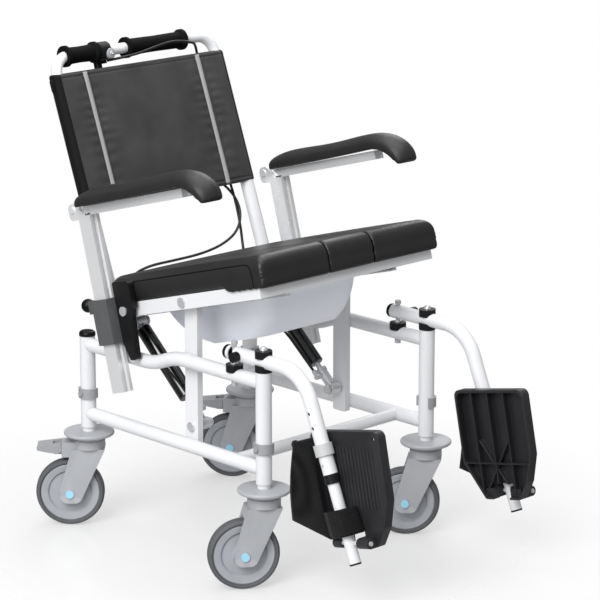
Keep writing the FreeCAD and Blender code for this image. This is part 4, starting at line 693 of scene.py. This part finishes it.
def turned(name, centre, axis, section, material, body):
    first = axis.orthogonal().normalized()
    second = axis.cross(first)
    angles = [2 * math.pi * j / small["sides"] for j in range(small["sides"])]
    rings = [[centre + axis * rise + (first * math.cos(a) + second * math.sin(a)) * radius for a in angles]
             for radius, rise in section]
    newPiece(name, loopMesh(name, rings), material, body)


# clamp plate with its screw, and the buttons on the strap arms
forward = (seatPoint(0, -1, 0) - seatPoint(0, 0, 0)).normalized()
plateCentre = seatPoint(small["plateAcross"], backAxis(seatUnit["barHeight"]) - small["plateAhead"],
                        seatUnit["barHeight"] - small["plateDrop"])
screwCentre = plateCentre + forward * small["screwRise"]
turned("clampPlate", plateCentre, forward, small["plate"], greyClip, "seat")
turned("clampScrew", screwCentre, forward, small["screw"], brightSteel, "seat")
for side, sign in (("right", -1), ("left", 1)):
    centre = strapPoint(small["buttonRear"], 0, strap["clip"], sign)
    turned("armButton" + side.title(), centre, hangerRear, small["button"], blackNylon, "hanger_" + side)
print("stage: small pieces added")

# pale polished floor that fades out into the white surround
ground = {"half": 20, "colour": "#d2d2d2", "roughness": 0.16, "specular": 0.35, "alpha": 0.5,
          "fade": (0.42, 0.82)}
corners = [(x * ground["half"], y * ground["half"], 0) for x, y in ((-1, -1), (1, -1), (1, 1), (-1, 1))]
floor = bpy.data.objects.new("floor", meshFrom("floor", corners, [(0, 1, 2, 3)]))
scene.collection.objects.link(floor)
floorMaterial, tree, place = newMaterial("paleFloor")
away = addNode(tree, "ShaderNodeVectorMath", {0: place}, operation="LENGTH").outputs["Value"]
fade = addNode(tree, "ShaderNodeMapRange", {"Value": away, "From Min": ground["fade"][0],
                                            "From Max": ground["fade"][1], "To Min": ground["alpha"],
                                            "To Max": 0})
finishMaterial(tree, {"Base Color": linear(ground["colour"]), "Roughness": ground["roughness"],
                      "Specular IOR Level": ground["specular"], "Alpha": fade.outputs["Result"]})
paint(floor, floorMaterial)

# white surround, dimmer for the light it gives than for the eye, one broad sun and lamps for the highlights
surround = {"diffuse": 0.56, "glossy": 0.2, "seen": 1.0}
world = bpy.data.worlds.new("white")
scene.world = world
world.use_nodes = True
tree = world.node_tree
tree.nodes.clear()
rays = addNode(tree, "ShaderNodeLightPath")
shine = addNode(tree, "ShaderNodeMix", {"Factor": rays.outputs["Is Glossy Ray"], 2: surround["diffuse"],
                                        3: surround["glossy"]}).outputs[0]
level = addNode(tree, "ShaderNodeMix", {"Factor": rays.outputs["Is Camera Ray"], 2: shine,
                                        3: surround["seen"]}).outputs[0]
back = addNode(tree, "ShaderNodeBackground", {"Color": (1, 1, 1, 1), "Strength": level})
addNode(tree, "ShaderNodeOutputWorld", {"Surface": back.outputs["Background"]})
lamps = {"sun": {"kind": "SUN", "place": (-2.4, -1.1, 3.0), "energy": 2.0, "angle": math.radians(35)},
         "top": {"kind": "AREA", "place": (0.2, 0.1, 2.7), "energy": 45, "size": 2.2},
         "fill": {"kind": "AREA", "place": (-2.5, -0.7, 0.8), "energy": 11, "size": 1.5},
         "gloss": {"kind": "AREA", "place": (-2.2, -0.6, 1.9), "energy": 22, "size": 1.4},
         "rim": {"kind": "AREA", "place": (1.9, 1.2, 2.0), "energy": 16, "size": 1.2}}
for name, lamp in lamps.items():
    light = bpy.data.lights.new(name, lamp["kind"])
    light.energy = lamp["energy"]
    if lamp["kind"] == "SUN":
        light.angle = lamp["angle"]
    else:
        light.size = lamp["size"]
    holder = bpy.data.objects.new(name, light)
    holder.location = lamp["place"]
    aim = Vector((0, 0, view["height"])) - Vector(lamp["place"])
    holder.rotation_euler = aim.to_track_quat("-Z", "Y").to_euler()
    scene.collection.objects.link(holder)
print("stage: lights set")
